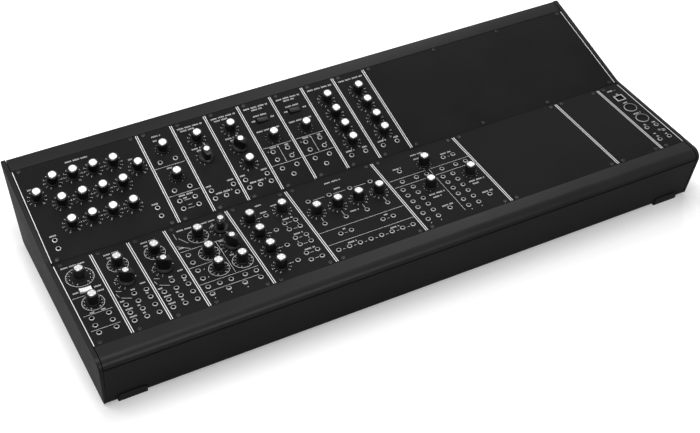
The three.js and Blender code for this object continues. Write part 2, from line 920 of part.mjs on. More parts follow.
// A mirrored geometry has its faces inside out until two corners of each face are swapped
function turnFaces(index) {
  for (let corner = 0; corner < index.length; corner += 3) {
    [index[corner], index[corner + 1]] = [index[corner + 1], index[corner]];
  }
}

function addFeet() {
  const reach = rowWidth / 2 + seam + cheekThickness - footInset - footWidth / 2;
  for (const [end, wall, direction] of [['front', tubFront, 1], ['rear', rearSkin, -1]]) {
    for (const [side, x] of [['left', -reach], ['right', reach]]) {
      addMesh(caseGroup, `foot_${end}_${side}`, foot(wall, direction), finishes.rubber).position.x = x;
    }
  }
}

function addCase() {
  addMesh(caseGroup, 'base_tub', tub(), finishes.case);
  addCheek('left_cheek', -1);
  addCheek('right_cheek', 1);
  addBar('front_bezel', frontBezel(), finishes.case);
  addBar('rear_bezel', rearBezel(), finishes.case);
  addBar('front_rail', endRail(lowerFrame, 0, screwEndInset), finishes.rail);
  addBar('middle_rail', middleRail(), finishes.rail);
  addBar('rear_rail', endRail(upperFrame, panelHeight - railWidth, panelHeight - screwEndInset), finishes.rail);
  addFeet();
  const unit = addMesh(caseGroup, 'power_unit', powerUnit(), finishes.board);
  unit.position.set(-converterLength / 2, caseMiddle, footHeight + sheetWall + seatGap);
  const powerSwitch = addMesh(caseGroup, 'power_switch', rocker(powerRockerLength, powerRockerWidth), finishes.knob);
  powerSwitch.applyMatrix4(rearWallFrame(powerSwitchPlace));
  powerSwitch.rotateY(rockerRest);
}

// The controls of a module that have nodes of their own
function addControls(group, module, left) {
  const { knobShares = [], pointerShares = [], pointerSteps = [], rockerShares = [] } = module;
  const restOf = (kind, index) => controlRest[kind] ?? selectorStart + pointerSteps[index] * selectorStep;
  const place = (kind, shares, solid, material) => {
    shares.forEach(([x, y], index) => {
      const number = shares.length > 1 ? `_${index + 1}` : '';
      const mesh = addMesh(group, `${module.name}_${kind}${number}`, solid(), material);
      mesh.position.set(left + x * module.units * unitWidth, y * panelHeight, 0);
      mesh.rotation.set(0, kind === 'rocker' ? rockerRest : 0, restOf(kind, index));
    });
  };
  const rockerMaterial = module.whiteRocker ? finishes.whiteRocker : finishes.knob;
  place('knob', knobShares, roundKnob, finishes.knob);
  place('selector', pointerShares, pointerKnob, finishes.knob);
  place('rocker', rockerShares, () => rocker(rockerLength, rockerWidth), rockerMaterial);
}

function addRow(frame, modules) {
  const row = new THREE.Group();
  row.position.set(-rowWidth / 2, frame.origin.x, frame.origin.y);
  row.rotation.x = frame.tilt;
  caseGroup.add(row);
  let left = 0;
  for (const module of modules) {
    addMesh(row, `${module.name}_panel`, modulePanel(module), finishes.panel).position.x = left;
    if (module.loose) {
      addControls(row, module, left);
    }
    left += module.units * unitWidth;
  }
}

addCase();
addRow(lowerFrame, lowerModules);
addRow(upperFrame, upperModules);

export default synthesizer;
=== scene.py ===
"""Modular synthesizer: nineteen modules in a two-row desktop case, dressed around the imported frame.

Shapes are drawn in millimetres and set into the frame's metres when a piece is finished.
"""

import json
import logging
import math
from collections.abc import Callable, Iterator, Sequence
from contextlib import contextmanager
from dataclasses import dataclass, field
from enum import Enum

import bmesh
import bpy
from mathutils import Matrix, Vector

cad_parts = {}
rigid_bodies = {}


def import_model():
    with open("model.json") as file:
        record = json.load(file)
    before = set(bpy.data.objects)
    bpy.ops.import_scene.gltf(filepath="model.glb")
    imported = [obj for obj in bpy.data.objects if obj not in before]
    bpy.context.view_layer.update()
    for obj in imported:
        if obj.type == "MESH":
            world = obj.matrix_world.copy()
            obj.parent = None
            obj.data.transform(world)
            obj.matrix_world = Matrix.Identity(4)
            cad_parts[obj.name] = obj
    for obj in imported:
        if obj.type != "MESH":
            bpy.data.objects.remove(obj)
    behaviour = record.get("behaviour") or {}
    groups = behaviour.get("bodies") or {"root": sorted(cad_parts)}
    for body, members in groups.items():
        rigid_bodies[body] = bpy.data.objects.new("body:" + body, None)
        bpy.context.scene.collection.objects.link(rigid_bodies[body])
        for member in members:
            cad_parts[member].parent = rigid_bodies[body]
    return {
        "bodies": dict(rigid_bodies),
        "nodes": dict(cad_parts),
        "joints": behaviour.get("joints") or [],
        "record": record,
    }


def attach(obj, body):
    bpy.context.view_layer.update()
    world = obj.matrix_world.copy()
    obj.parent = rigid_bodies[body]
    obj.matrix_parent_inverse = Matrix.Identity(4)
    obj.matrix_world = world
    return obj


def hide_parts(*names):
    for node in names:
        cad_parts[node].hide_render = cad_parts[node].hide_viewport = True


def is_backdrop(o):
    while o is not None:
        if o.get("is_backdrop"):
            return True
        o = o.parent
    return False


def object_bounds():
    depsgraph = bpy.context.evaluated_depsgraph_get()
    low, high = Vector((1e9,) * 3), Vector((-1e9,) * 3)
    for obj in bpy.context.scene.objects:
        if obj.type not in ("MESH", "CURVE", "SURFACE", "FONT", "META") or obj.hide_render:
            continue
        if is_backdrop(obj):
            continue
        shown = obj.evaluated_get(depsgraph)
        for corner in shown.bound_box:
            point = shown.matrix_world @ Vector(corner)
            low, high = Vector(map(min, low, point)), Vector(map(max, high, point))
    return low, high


LOG = logging.getLogger("synthesizer")

MM = 0.001
CASE = "case"
SMOOTH_ANGLE = math.radians(32)
OVERRUN = 1.0
TOUCH = 0.01
WELD = 0.001
FINE_WELD = 0.0005
SKIN_GAP = 0.02
RIM_SHARE = 0.98
FINE_DETAIL = 3.0
LEVEL = 0.9
FULLY_LEVEL = 0.95

Point = tuple[float, float]
Triplet = tuple[float, float, float]
Colour = Triplet
Place = Matrix
Part = bpy.types.Object
Shape = bpy.types.Mesh
Socket = bpy.types.NodeSocket


# Finishes


class Slot(Enum):
    """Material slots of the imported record."""

    PANEL = "panel_black"
    CASE = "case_black"
    RAIL = "rail_metal"
    KNOB = "knob_plastic"
    CAP = "knob_cap"
    WHITE_ROCKER = "rocker_white"
    PRINT = "print_white"
    SOCKET = "socket_metal"
    BORE = "socket_black"
    SCREW = "screw_black"
    RUBBER = "foot_rubber"
    BOARD = "board_green"


Input = float | Sequence[float] | Socket


class NodeBoard:
    """The node tree of a new material or world, with short ways to add and join nodes."""

    def __init__(self, owner: bpy.types.Material | bpy.types.World, shader: str, output: str) -> None:
        """Clears the tree and joins its shader to its output.

        Args:
            owner: The material or world.
            shader: Blender's name of the shader's node type.
            output: Blender's name of the output's node type.
        """
        owner.use_nodes = True
        self.owner = owner
        self.tree = owner.node_tree
        self.tree.nodes.clear()
        self.shader = self.add(shader)
        self.add(output, {"Surface": self.shader.outputs[0]})

    @classmethod
    def material(cls, name: str) -> "NodeBoard":
        """Starts a new material."""
        return cls(bpy.data.materials.new(name), "ShaderNodeBsdfPrincipled", "ShaderNodeOutputMaterial")

    def add(
        self, kind: str, inputs: dict[str | int, Input] | None = None, **settings: object
    ) -> bpy.types.Node:
        """Adds a node.

        Args:
            kind: Blender's name of the node type.
            inputs: Values or sockets for its inputs.
            **settings: Attributes to set on the node.

        Returns:
            The new node.
        """
        node = self.tree.nodes.new(kind)
        for name, value in settings.items():
            setattr(node, name, value)
        for name, value in (inputs or {}).items():
            self.plug(value, node.inputs[name])
        return node

    def plug(self, value: Input, target: Socket) -> None:
        """Joins a socket to an input, or sets a plain value there."""
        if isinstance(value, Socket):
            self.tree.links.new(value, target)
        else:
            target.default_value = value

    def set(self, name: str, value: Input) -> None:
        """Sets or joins one of the shader's own inputs."""
        self.plug(value, self.shader.inputs[name])

    def math(self, operation: str, *values: Input) -> Socket:
        """Works out a number."""
        return self.add("ShaderNodeMath", dict(enumerate(values)), operation=operation).outputs[0]

    def vector(self, operation: str, *values: Input) -> Socket:
        """Works out a vector, or the length of one."""
        node = self.add("ShaderNodeVectorMath", dict(enumerate(values)), operation=operation)
        return node.outputs["Value" if operation == "LENGTH" else "Vector"]

    def place(self, stretch: Triplet = (1.0, 1.0, 1.0)) -> Socket:
        """Object coordinates, stretched along X, Y and Z."""
        coordinates = self.add("ShaderNodeTexCoord").outputs["Object"]
        return self.add("ShaderNodeMapping", {"Vector": coordinates, "Scale": stretch}).outputs["Vector"]

    def noise(self, vector: Socket, grain: float, detail: float = 2.0) -> Socket:
        """Noise whose blotches measure about the grain, in millimetres."""
        inputs = {"Vector": vector, "Scale": 1.0 / (grain * MM), "Detail": detail}
        return self.add("ShaderNodeTexNoise", inputs).outputs["Fac"]

    def spread(
        self, factor: Socket, low: float, high: float, start: float = 0.3, stop: float = 0.7
    ) -> Socket:
        """Maps a factor onto a range of values.

        Args:
            factor: The factor to map.
            low: Value at the start.
            high: Value at the stop.
            start: Factor that gives the low value.
            stop: Factor that gives the high value.

        Returns:
            The mapped value.
        """
        inputs = {"Value": factor, "From Min": start, "From Max": stop, "To Min": low, "To Max": high}
        return self.add("ShaderNodeMapRange", inputs).outputs["Result"]

    def blend(self, factor: Socket, first: Colour, second: Colour) -> Socket:
        """Mixes two linear colours: a factor of 0 gives the first and 1 the second."""
        inputs = {"A": (*first, 1.0), "B": (*second, 1.0), "Factor": factor}
        return self.add("ShaderNodeMix", inputs, data_type="RGBA").outputs["Result"]

    def relief(self, height: Socket, depth: float) -> None:
        """Lets a height from 0 to 1 shape the normals, with its depth in millimetres."""
        inputs = {"Height": height, "Distance": depth * MM, "Strength": 1.0}
        self.set("Normal", self.add("ShaderNodeBump", inputs).outputs["Normal"])


def grey(tone: int) -> Colour:
    """The linear colour of an 8-bit sRGB grey."""
    share = tone / 255
    linear = share / 12.92 if share <= 0.04045 else ((share + 0.055) / 1.055) ** 2.4
    return (linear, linear, linear)


@dataclass(frozen=True)
class Coating:
    """A grained coat: powder paint, moulded plastic or rubber.

    Attributes:
        name: Name of the material.
        dark: Colour of the hollows.
        light: Colour of the raised grain.
        roughness: Roughness at its least and most.
        grain: Size of the grain in millimetres.
        relief: Depth of the grain in millimetres.
        specular: Specular level of the shader.
        metallic: Metallic share of the shader.
        cloud: Size of the soft tone variation in millimetres.
        contrast: Mixed noise that gives the dark and the light colour.
    """

    name: str
    dark: Colour
    light: Colour
    roughness: Point = (0.5, 0.6)
    grain: float = 0.35
    relief: float = 0.02
    specular: float = 0.3
    metallic: float = 0.0
    cloud: float = 60.0
    contrast: Point = (0.35, 0.65)

    def make(self) -> bpy.types.Material:
        """Builds the material."""
        board = NodeBoard.material(self.name)
        place = board.place()
        grain = board.noise(place, self.grain)
        cloud = board.noise(place, self.cloud, FINE_DETAIL)
        mixed = board.math("MULTIPLY_ADD", grain, 0.5, board.math("MULTIPLY", cloud, 0.5))
        tone = board.spread(mixed, 0.0, 1.0, *self.contrast)
        board.set("Base Color", board.blend(tone, self.dark, self.light))
        board.set("Roughness", board.spread(cloud, *self.roughness))
        board.set("Specular IOR Level", self.specular)
        board.set("Metallic", self.metallic)
        board.relief(grain, self.relief)
        return board.owner


@dataclass(frozen=True)
class BrushedMetal:
    """Metal with fine scratches along one direction.

    Attributes:
        name: Name of the material.
        colour: Linear colour.
        roughness: Roughness at its least and most.
        stretch: Factors that draw the scratches out along an axis.
        grain: Width of a scratch in millimetres.
        worn: Brightness of the scratches against the rest.
        relief: Depth of a scratch in millimetres.
    """

    name: str
    colour: Colour
    roughness: Point = (0.25, 0.4)
    stretch: Triplet = (0.04, 1.0, 1.0)
    grain: float = 0.3
    worn: float = 0.8
    relief: float = 0.01

    def make(self) -> bpy.types.Material:
        """Builds the material."""
        board = NodeBoard.material(self.name)
        scratches = board.noise(board.place(self.stretch), self.grain, FINE_DETAIL)
        worn = tuple(channel * self.worn for channel in self.colour)
        board.set("Base Color", board.blend(board.spread(scratches, 0.0, 1.0), worn, self.colour))
        board.set("Roughness", board.spread(scratches, *self.roughness))
        board.set("Metallic", 1.0)
        board.relief(scratches, self.relief)
        return board.owner


@dataclass(frozen=True)
class SpunMetal:
    """A turned aluminium face: fine rings, and painted highlight sectors, bright and dark, about the centre
    of the UV map.

    Attributes:
        name: Name of the material.
        dark: Colour of the sectors of painted shade.
        light: Colour of the sectors of painted highlight.
        roughness: Roughness at its least and most.
        rings: Number of turned rings across the face.
        highlight_sectors: Number of painted highlight sectors.
        edges: Waves at which a painted highlight sector starts and ends.
        metallic: Metallic share of the shader.
        relief: Depth of a ring in millimetres.
    """

    name: str
    dark: Colour
    light: Colour
    roughness: Point = (0.22, 0.34)
    rings: float = 26.0
    highlight_sectors: float = 4.0
    edges: Point = (-0.75, 0.35)
    metallic: float = 0.85
    relief: float = 0.01

    def make(self) -> bpy.types.Material:
        """Builds the material."""
        board = NodeBoard.material(self.name)
        coordinates = board.add("ShaderNodeUVMap", uv_map=SPUN_MAP).outputs["UV"]
        centred = board.vector("SUBTRACT", coordinates, (0.5, 0.5, 0.0))
        parts = board.add("ShaderNodeSeparateXYZ", {0: centred}).outputs
        # Painted highlight: sectors round the cap's centre are lighter and darker in colour, standing in for
        # the sheen of turned metal.
        angle = board.math("ARCTAN2", parts["Y"], parts["X"])
        wave = board.math("COSINE", board.math("MULTIPLY", angle, self.highlight_sectors))
        painted_highlight = board.spread(wave, 0.0, 1.0, *self.edges)
        board.set("Base Color", board.blend(painted_highlight, self.dark, self.light))
        turns = board.math("MULTIPLY", board.vector("LENGTH", centred), self.rings * math.tau)
        ripple = board.math("SINE", turns)
        board.set("Roughness", board.spread(ripple, *self.roughness, -1.0, 1.0))
        board.set("Metallic", self.metallic)
        board.relief(ripple, self.relief)
        return board.owner


@dataclass(frozen=True)
class Laminate:
    """Circuit-board laminate with copper tracks under the mask.

    Attributes:
        name: Name of the material.
        mask: Colour of the solder mask.
        track: Colour of the mask over copper.
        pitch: Distance between the tracks in millimetres.
        gap: Width of the gaps between the tracks against the pitch.
        roughness: Roughness at its least and most.
        mottle: Size of the rougher patches in millimetres.
        relief: Depth of the gaps in millimetres.
    """

    name: str
    mask: Colour = (0.012, 0.06, 0.022)
    track: Colour = (0.03, 0.12, 0.045)
    pitch: float = 9.0
    gap: float = 0.05
    roughness: Point = (0.35, 0.5)
    mottle: float = 3.0
    relief: float = 0.03

    def make(self) -> bpy.types.Material:
        """Builds the material."""
        board = NodeBoard.material(self.name)
        inputs = {"Vector": board.place(), "Scale": 1.0 / (self.pitch * MM), "Mortar Size": self.gap}
        cells = board.add("ShaderNodeTexBrick", inputs, offset=0.5).outputs["Fac"]
        board.set("Base Color", board.blend(cells, self.mask, self.track))
        board.set("Roughness", board.spread(board.noise(board.place(), self.mottle), *self.roughness))
        board.relief(cells, self.relief)
        return board.owner


SPUN_MAP = "spun"

FINISHES = {
    Slot.PANEL: Coating("panel_paint", grey(24), grey(34), (0.5, 0.62), specular=0.035),
    Slot.CASE: Coating("case_paint", grey(21), grey(29), (0.34, 0.42), grain=0.5, specular=0.14),
    Slot.RAIL: BrushedMetal("rail_extrusion", grey(60), (0.35, 0.5)),
    Slot.KNOB: Coating(
        "knob_moulding", grey(12), grey(22), (0.27, 0.36), grain=0.25, relief=0.01, specular=0.22
    ),
    # Caps: aluminium with painted highlight sectors in their colour.
    Slot.CAP: SpunMetal("cap_aluminium_painted_highlight", grey(184), grey(224), (0.32, 0.44)),
    Slot.WHITE_ROCKER: Coating("white_moulding", grey(248), grey(254), (0.35, 0.45), relief=0.008),
    Slot.PRINT: Coating("white_screen_print", grey(238), grey(252), (0.55, 0.7), grain=0.2, relief=0.004),
    Slot.SOCKET: BrushedMetal("socket_nickel", grey(168), (0.34, 0.46), (1.0, 1.0, 1.0)),
    # Black moulding of sockets, wells and frames, also used as painted shade behind the feet's toes and under
    # the front bezel.
    Slot.BORE: Coating("black_moulding_and_painted_shade", grey(4), grey(10), (0.6, 0.75), specular=0.1),
    Slot.SCREW: Coating("screw_black_oxide", grey(38), grey(60), (0.25, 0.4), metallic=0.8, specular=0.4),
    Slot.RUBBER: Coating(
        "foot_rubber", grey(22), grey(32), (0.7, 0.85), grain=0.6, relief=0.03, specular=0.2
    ),
    Slot.BOARD: Laminate("board_laminate"),
}


# Modelling


EdgeTest = Callable[[bmesh.types.BMEdge], bool]
FaceTest = Callable[[bmesh.types.BMFace], bool]
ElementTest = Callable[[bmesh.types.BMVert], bool] | EdgeTest | FaceTest


class Pick(Enum):
    """What a selection is made of, as the edit mode names it."""

    CORNERS = "VERT"
    EDGES = "EDGE"
    FACES = "FACE"


def clear_selection() -> None:
    """Deselects everything."""
    bpy.ops.object.select_all(action="DESELECT")


def take_up(part: Part) -> None:
    """Makes a part the only selected and the active object."""
    clear_selection()
    part.select_set(True)
    bpy.context.view_layer.objects.active = part


@contextmanager
def editing(part: Part) -> Iterator[None]:
    """Opens a part in edit mode, with nothing else selected."""
    take_up(part)
    bpy.ops.object.mode_set(mode="EDIT")
    try:
        yield
    finally:
        bpy.ops.object.mode_set(mode="OBJECT")


def choose(part: Part, kind: Pick, test: ElementTest) -> None:
    """Selects the corners, edges or faces of the part in edit mode that pass a test.

    Args:
        part: The part being edited.
        kind: What is selected.
        test: Says whether an element belongs to the selection.
    """
    bpy.ops.mesh.select_mode(type=kind.value)
    bpy.ops.mesh.select_all(action="DESELECT")
    mesh = bmesh.from_edit_mesh(part.data)
    elements = {Pick.CORNERS: mesh.verts, Pick.EDGES: mesh.edges, Pick.FACES: mesh.faces}[kind]
    for element in elements:
        if test(element):
            element.select_set(True)
    mesh.select_flush_mode()
    bmesh.update_edit_mesh(part.data)


def ends(edge: bmesh.types.BMEdge) -> tuple[Vector, Vector]:
    """The two end points of an edge."""
    return edge.verts[0].co, edge.verts[1].co


def both_ends(test: Callable[[Vector], bool]) -> EdgeTest:
    """A test that passes edges whose two end points pass a test."""
    return lambda edge: all(test(point) for point in ends(edge))


def at_height(height: float) -> EdgeTest:
    """A test that passes edges that lie at a height."""
    return both_ends(lambda point: abs(point.z - height) < TOUCH)


def upright(edge: bmesh.types.BMEdge) -> bool:
    """Passes edges that stand upright."""
    first, second = ends(edge)
    return (first.xy - second.xy).length < TOUCH


def flat(face: bmesh.types.BMFace) -> bool:
    """Passes faces that look up or down."""
    return abs(face.normal.z) > LEVEL


def upward(face: bmesh.types.BMFace) -> bool:
    """Passes faces that look up."""
    return face.normal.z > LEVEL


def wide_top(area: float) -> FaceTest:
    """A test that passes level faces that look up and are larger than an area."""
    return lambda face: face.normal.z > FULLY_LEVEL and face.calc_area() > area


def settle(part: Part) -> Part:
    """Moves a part's place, turn and size into its mesh."""
    take_up(part)
    bpy.ops.object.transform_apply(location=True, rotation=True, scale=True)
    return part


def box(size: Sequence[float], centre: Sequence[float]) -> Part:
    """Starts a part from a block."""
    clear_selection()
    bpy.ops.mesh.primitive_cube_add(size=1, location=centre)
    bpy.context.object.scale = size
    return settle(bpy.context.object)


def block(length: float, width: float, low: float, high: float, spot: Point = (0.0, 0.0)) -> Part:
    """Starts a part from an upright block.

    Args:
        length: Its size along X.
        width: Its size along Y.
        low: Height of the bottom.
        high: Height of the top.
        spot: Centre in X and Y.

    Returns:
        The part.
    """
    return box((length, width, high - low), (*spot, (low + high) / 2))


def drum(
    low_radius: float, top_radius: float, sides: int, low: float, high: float, spot: Point = (0.0, 0.0)
) -> Part:
    """Starts a part from an upright drum.

    Args:
        low_radius: Radius at the bottom.
        top_radius: Radius at the top.
        sides: Number of sides.
        low: Height of the bottom.
        high: Height of the top.
        spot: Centre in X and Y.

    Returns:
        The part.
    """
    clear_selection()
    place = (*spot, (low + high) / 2)
    bpy.ops.mesh.primitive_cone_add(
        vertices=sides, radius1=low_radius, radius2=top_radius, depth=high - low, location=place
    )
    return settle(bpy.context.object)


def profile_bar(points: Sequence[Point], low: float, high: float) -> Part:
    """Draws a closed profile in Y and Z by extruding the edge of a strip from corner to corner.

    Args:
        points: Corners of the profile in order.
        low: Lower end along X.
        high: Upper end along X.

    Returns:
        The closed bar.
    """
    first, second = Vector(points[0]), Vector(points[1])
    span = second - first
    middle = (first + second) / 2
    clear_selection()
    bpy.ops.mesh.primitive_plane_add(size=1, location=((low + high) / 2, *middle))
    strip = bpy.context.object
    strip.rotation_euler.x = math.atan2(span.y, span.x)
    strip.scale = (high - low, span.length, 1)
    settle(strip)
    with editing(strip):
        choose(strip, Pick.EDGES, both_ends(lambda point: (point.yz - second).length < WELD))
        corners = [*points[1:], points[0]]
        for start, stop in zip(corners, corners[1:]):
            step = (0, stop[0] - start[0], stop[1] - start[1])
            bpy.ops.mesh.extrude_region_move(TRANSFORM_OT_translate={"value": step})
        bpy.ops.mesh.select_all(action="SELECT")
        bpy.ops.mesh.remove_doubles(threshold=WELD)
        for end in (low, high):
            choose(strip, Pick.EDGES, both_ends(lambda point, x=end: abs(point.x - x) < WELD))
            bpy.ops.mesh.edge_face_add()
    return face_out(strip)


def face_out(part: Part) -> Part:
    """Merges doubled corners and turns every face outwards."""
    with editing(part):
        bpy.ops.mesh.select_all(action="SELECT")
        bpy.ops.mesh.remove_doubles(threshold=FINE_WELD)
        bpy.ops.mesh.normals_make_consistent(inside=False)
    return part


def bevel(part: Part, test: EdgeTest, width: float, steps: int = 2) -> None:
    """Bevels the edges that pass a test.

    Args:
        part: The part.
        test: Says which edges are bevelled.
        width: Width of the bevel.
        steps: Number of segments.
    """
    with editing(part):
        choose(part, Pick.EDGES, test)
        bpy.ops.mesh.bevel(offset=width, segments=steps, affect="EDGES")


def sink(part: Part, test: FaceTest, border: float, step: float, taper: float = 1.0) -> None:
    """Insets the faces that pass a test, then moves the inset face in or out.

    Args:
        part: The part.
        test: Says which faces are inset.
        border: Width of the border left round the face.
        step: How far the face moves along Z.
        taper: Size of the moved face against the inset one.
    """
    with editing(part):
        choose(part, Pick.FACES, test)
        bpy.ops.mesh.inset(thickness=border)
        bpy.ops.mesh.extrude_region_move(TRANSFORM_OT_translate={"value": (0, 0, step)})
        if taper != 1.0:
            bpy.ops.transform.resize(value=(taper, taper, 1))


def resize(part: Part, test: ElementTest, factors: Triplet) -> None:
    """Draws the corners that pass a test towards or away from the origin."""
    with editing(part):
        choose(part, Pick.CORNERS, test)
        bpy.ops.transform.resize(value=factors, center_override=(0, 0, 0))


def pierced(part: Part, border: float) -> Part:
    """Opens a block from top to bottom, with a border left round the opening."""
    with editing(part):
        choose(part, Pick.FACES, flat)
        bpy.ops.mesh.inset(thickness=border)
        bpy.ops.mesh.bridge_edge_loops()
    return part


def modified(part: Part, kind: str, **values: object) -> Part:
    """Gives a part a modifier and applies it.

    Args:
        part: The part.
        kind: Blender's name of the modifier type.
        **values: Settings of the modifier.

    Returns:
        The part.
    """
    take_up(part)
    modifier = part.modifiers.new(kind.lower(), kind)
    for name, value in values.items():
        setattr(modifier, name, value)
    bpy.ops.object.modifier_apply(modifier=modifier.name)
    return part


def ring(outer: float, inner: float, sides: int, low: float, high: float, round_: float) -> Part:
    """A ring turned from an open tube, with its upper edges rounded.

    Args:
        outer: Outer radius.
        inner: Inner radius.
        sides: Number of sides.
        low: Height of the bottom.
        high: Height of the top.
        round_: Width of the rounding.

    Returns:
        The ring.
    """
    clear_selection()
    place = (0, 0, (low + high) / 2)
    bpy.ops.mesh.primitive_cylinder_add(
        vertices=sides, radius=outer, depth=high - low, end_fill_type="NOTHING", location=place
    )
    tube = settle(bpy.context.object)
    modified(tube, "SOLIDIFY", thickness=outer - inner, offset=-1, use_even_offset=True)
    if round_ > 0:
        rim = both_ends(lambda point: abs(point.z - high) < TOUCH and point.xy.length > outer * RIM_SHARE)
        bevel(tube, rim, round_)
    return tube


def joined(parts: Sequence[Part]) -> Part:
    """Joins parts into the first of them."""
    take_up(parts[0])
    for part in parts[1:]:
        part.select_set(True)
    if len(parts) > 1:
        bpy.ops.object.join()
    return parts[0]


def carved(part: Part, tool: Part, operation: str = "DIFFERENCE") -> Part:
    """Cuts a part with another, which is used up."""
    modified(part, "BOOLEAN", operation=operation, object=tool, solver="EXACT")
    bpy.data.objects.remove(tool, do_unlink=True)
    return part


def pattern(part: Part) -> Shape:
    """Turns a part into a mesh to make copies of, and clears the part away."""
    mesh = part.data
    bpy.data.objects.remove(part, do_unlink=True)
    return mesh


class Pile:
    """Copies of patterns, each with its own mesh, gathered into one piece."""

    def __init__(self) -> None:
        """Starts empty."""
        self.mesh = bmesh.new()

    def add(self, shape: Shape, place: Place) -> None:
        """Lays down a copy of a pattern at a place in millimetres."""
        copy = shape.copy()
        copy.transform(place)
        self.mesh.from_mesh(copy)
        bpy.data.meshes.remove(copy)

    def part(self, name: str) -> Part:
        """Turns the pile into a part with a name."""
        mesh = bpy.data.meshes.new(name)
        self.mesh.to_mesh(mesh)
        self.mesh.free()
        part = bpy.data.objects.new(name, mesh)
        bpy.context.scene.collection.objects.link(part)
        return part


def copies(shape: Shape, places: Sequence[Place]) -> Part:
    """Copies of a pattern at places in millimetres, gathered into one piece."""
    pile = Pile()
    for place in places:
        pile.add(shape, place)
    return pile.part("copies")


def at(spot: Point, turn: float = 0.0, axis: str = "Z") -> Place:
    """A place on a panel, turned about an axis."""
    return Matrix.Translation((*spot, 0)) @ Matrix.Rotation(turn, 4, axis)


class Workshop:
    """Dresses finished parts: name, finish, body, replaced nodes and slot."""

    def __init__(self) -> None:
        """Makes every finish once."""
        self.materials = {slot: finish.make() for slot, finish in FINISHES.items()}

    def finish(
        self,
        part: Part,
        name: str,
        slot: Slot,
        body: str = CASE,
        place: Place | None = None,
        replaces: Sequence[str] = (),
        angle: float = SMOOTH_ANGLE,
    ) -> Part:
        """Sets a part into the frame and gives it its finish.

        Args:
            part: The part, drawn in millimetres.
            name: Name of the piece.
            slot: Its material slot.
            body: The body it rides on.
            place: Its place in millimetres, if it isn't drawn in place.
            replaces: CAD nodes that it stands for.
            angle: Edges sharper than this stay sharp.

        Returns:
            The piece.
        """
        part.data.transform(Matrix.Scale(MM, 4) @ (place or Matrix.Identity(4)))
        part.name = part.data.name = name
        part.data.materials.clear()
        part.data.materials.append(self.materials[slot])
        take_up(part)
        bpy.ops.object.shade_smooth_by_angle(angle=angle)
        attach(part, body)
        if replaces:
            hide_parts(*replaces)
        LOG.info("%s: %d faces, %s, on %s", name, len(part.data.polygons), slot.value, body)
        return part

    def dress(self, node: Part, slot: Slot) -> None:
        """Gives a CAD node a finish in each of its slots."""
        for material_slot in node.material_slots:
            material_slot.material = self.materials[slot]
        LOG.info("%s: the frame's own shape, %s", node.name, slot.value)


# Case


@dataclass(frozen=True)
class Face:
    """A flat face of the case seen from the side, with the inside on its right.

    Attributes:
        point: A point on it, Y and Z.
        direction: Its direction, a unit vector.
    """

    point: Vector
    direction: Vector

    def right(self) -> Vector:
        """The direction into the case."""
        return Vector((self.direction.y, -self.direction.x))

    def inset(self, distance: float) -> "Face":
        """The face moved into the case."""
        return Face(self.point + self.right() * distance, self.direction)

    def across(self, point: Vector, distance: float) -> Vector:
        """A point moved into the case."""
        return point + self.right() * distance

    def crossing(self, other: "Face") -> Vector:
        """Where the face meets another."""
        reach = (other.point - self.point).cross(other.direction) / self.direction.cross(other.direction)
        return self.point + self.direction * reach

    def at_height(self, height: float) -> Vector:
        """Where the face reaches a height."""
        return self.crossing(Face(Vector((0, height)), Vector((1, 0))))

    def fillet(self, other: "Face", radius: float, steps: int) -> list[Vector]:
        """An arc from this face to another.

        Args:
            other: The next face.
            radius: Radius of the arc.
            steps: Number of segments.

        Returns:
            Points along the arc.
        """
        turn = math.atan2(self.direction.cross(other.direction), self.direction.dot(other.direction))
        start = self.crossing(other) - self.direction * (radius * math.tan(abs(turn) / 2))
        centre = start - self.right() * (math.copysign(radius, turn))
        arm = start - centre
        return [centre + Matrix.Rotation(turn * step / steps, 2) @ arm for step in range(steps + 1)]


@dataclass(frozen=True)
class RowFrame:
    """The plane of a row of panels.

    Attributes:
        origin: Y and Z of the lower edge of the panels' faces, from the front of the case.
        tilt: Tilt of the row in radians.
    """

    origin: Vector
    tilt: float

    def heading(self) -> Vector:
        """The direction up the row."""
        return Vector((math.cos(self.tilt), math.sin(self.tilt)))

    def point(self, along: float, above: float) -> Vector:
        """A point along the row and above its faces."""
        direction = self.heading()
        return self.origin + direction * along + Vector((-direction.y, direction.x)) * above

    def end(self, along: float) -> Face:
        """The face square to the row at a place along it."""
        heading = self.heading()
        return Face(self.point(along, 0), Vector((heading.y, -heading.x)))


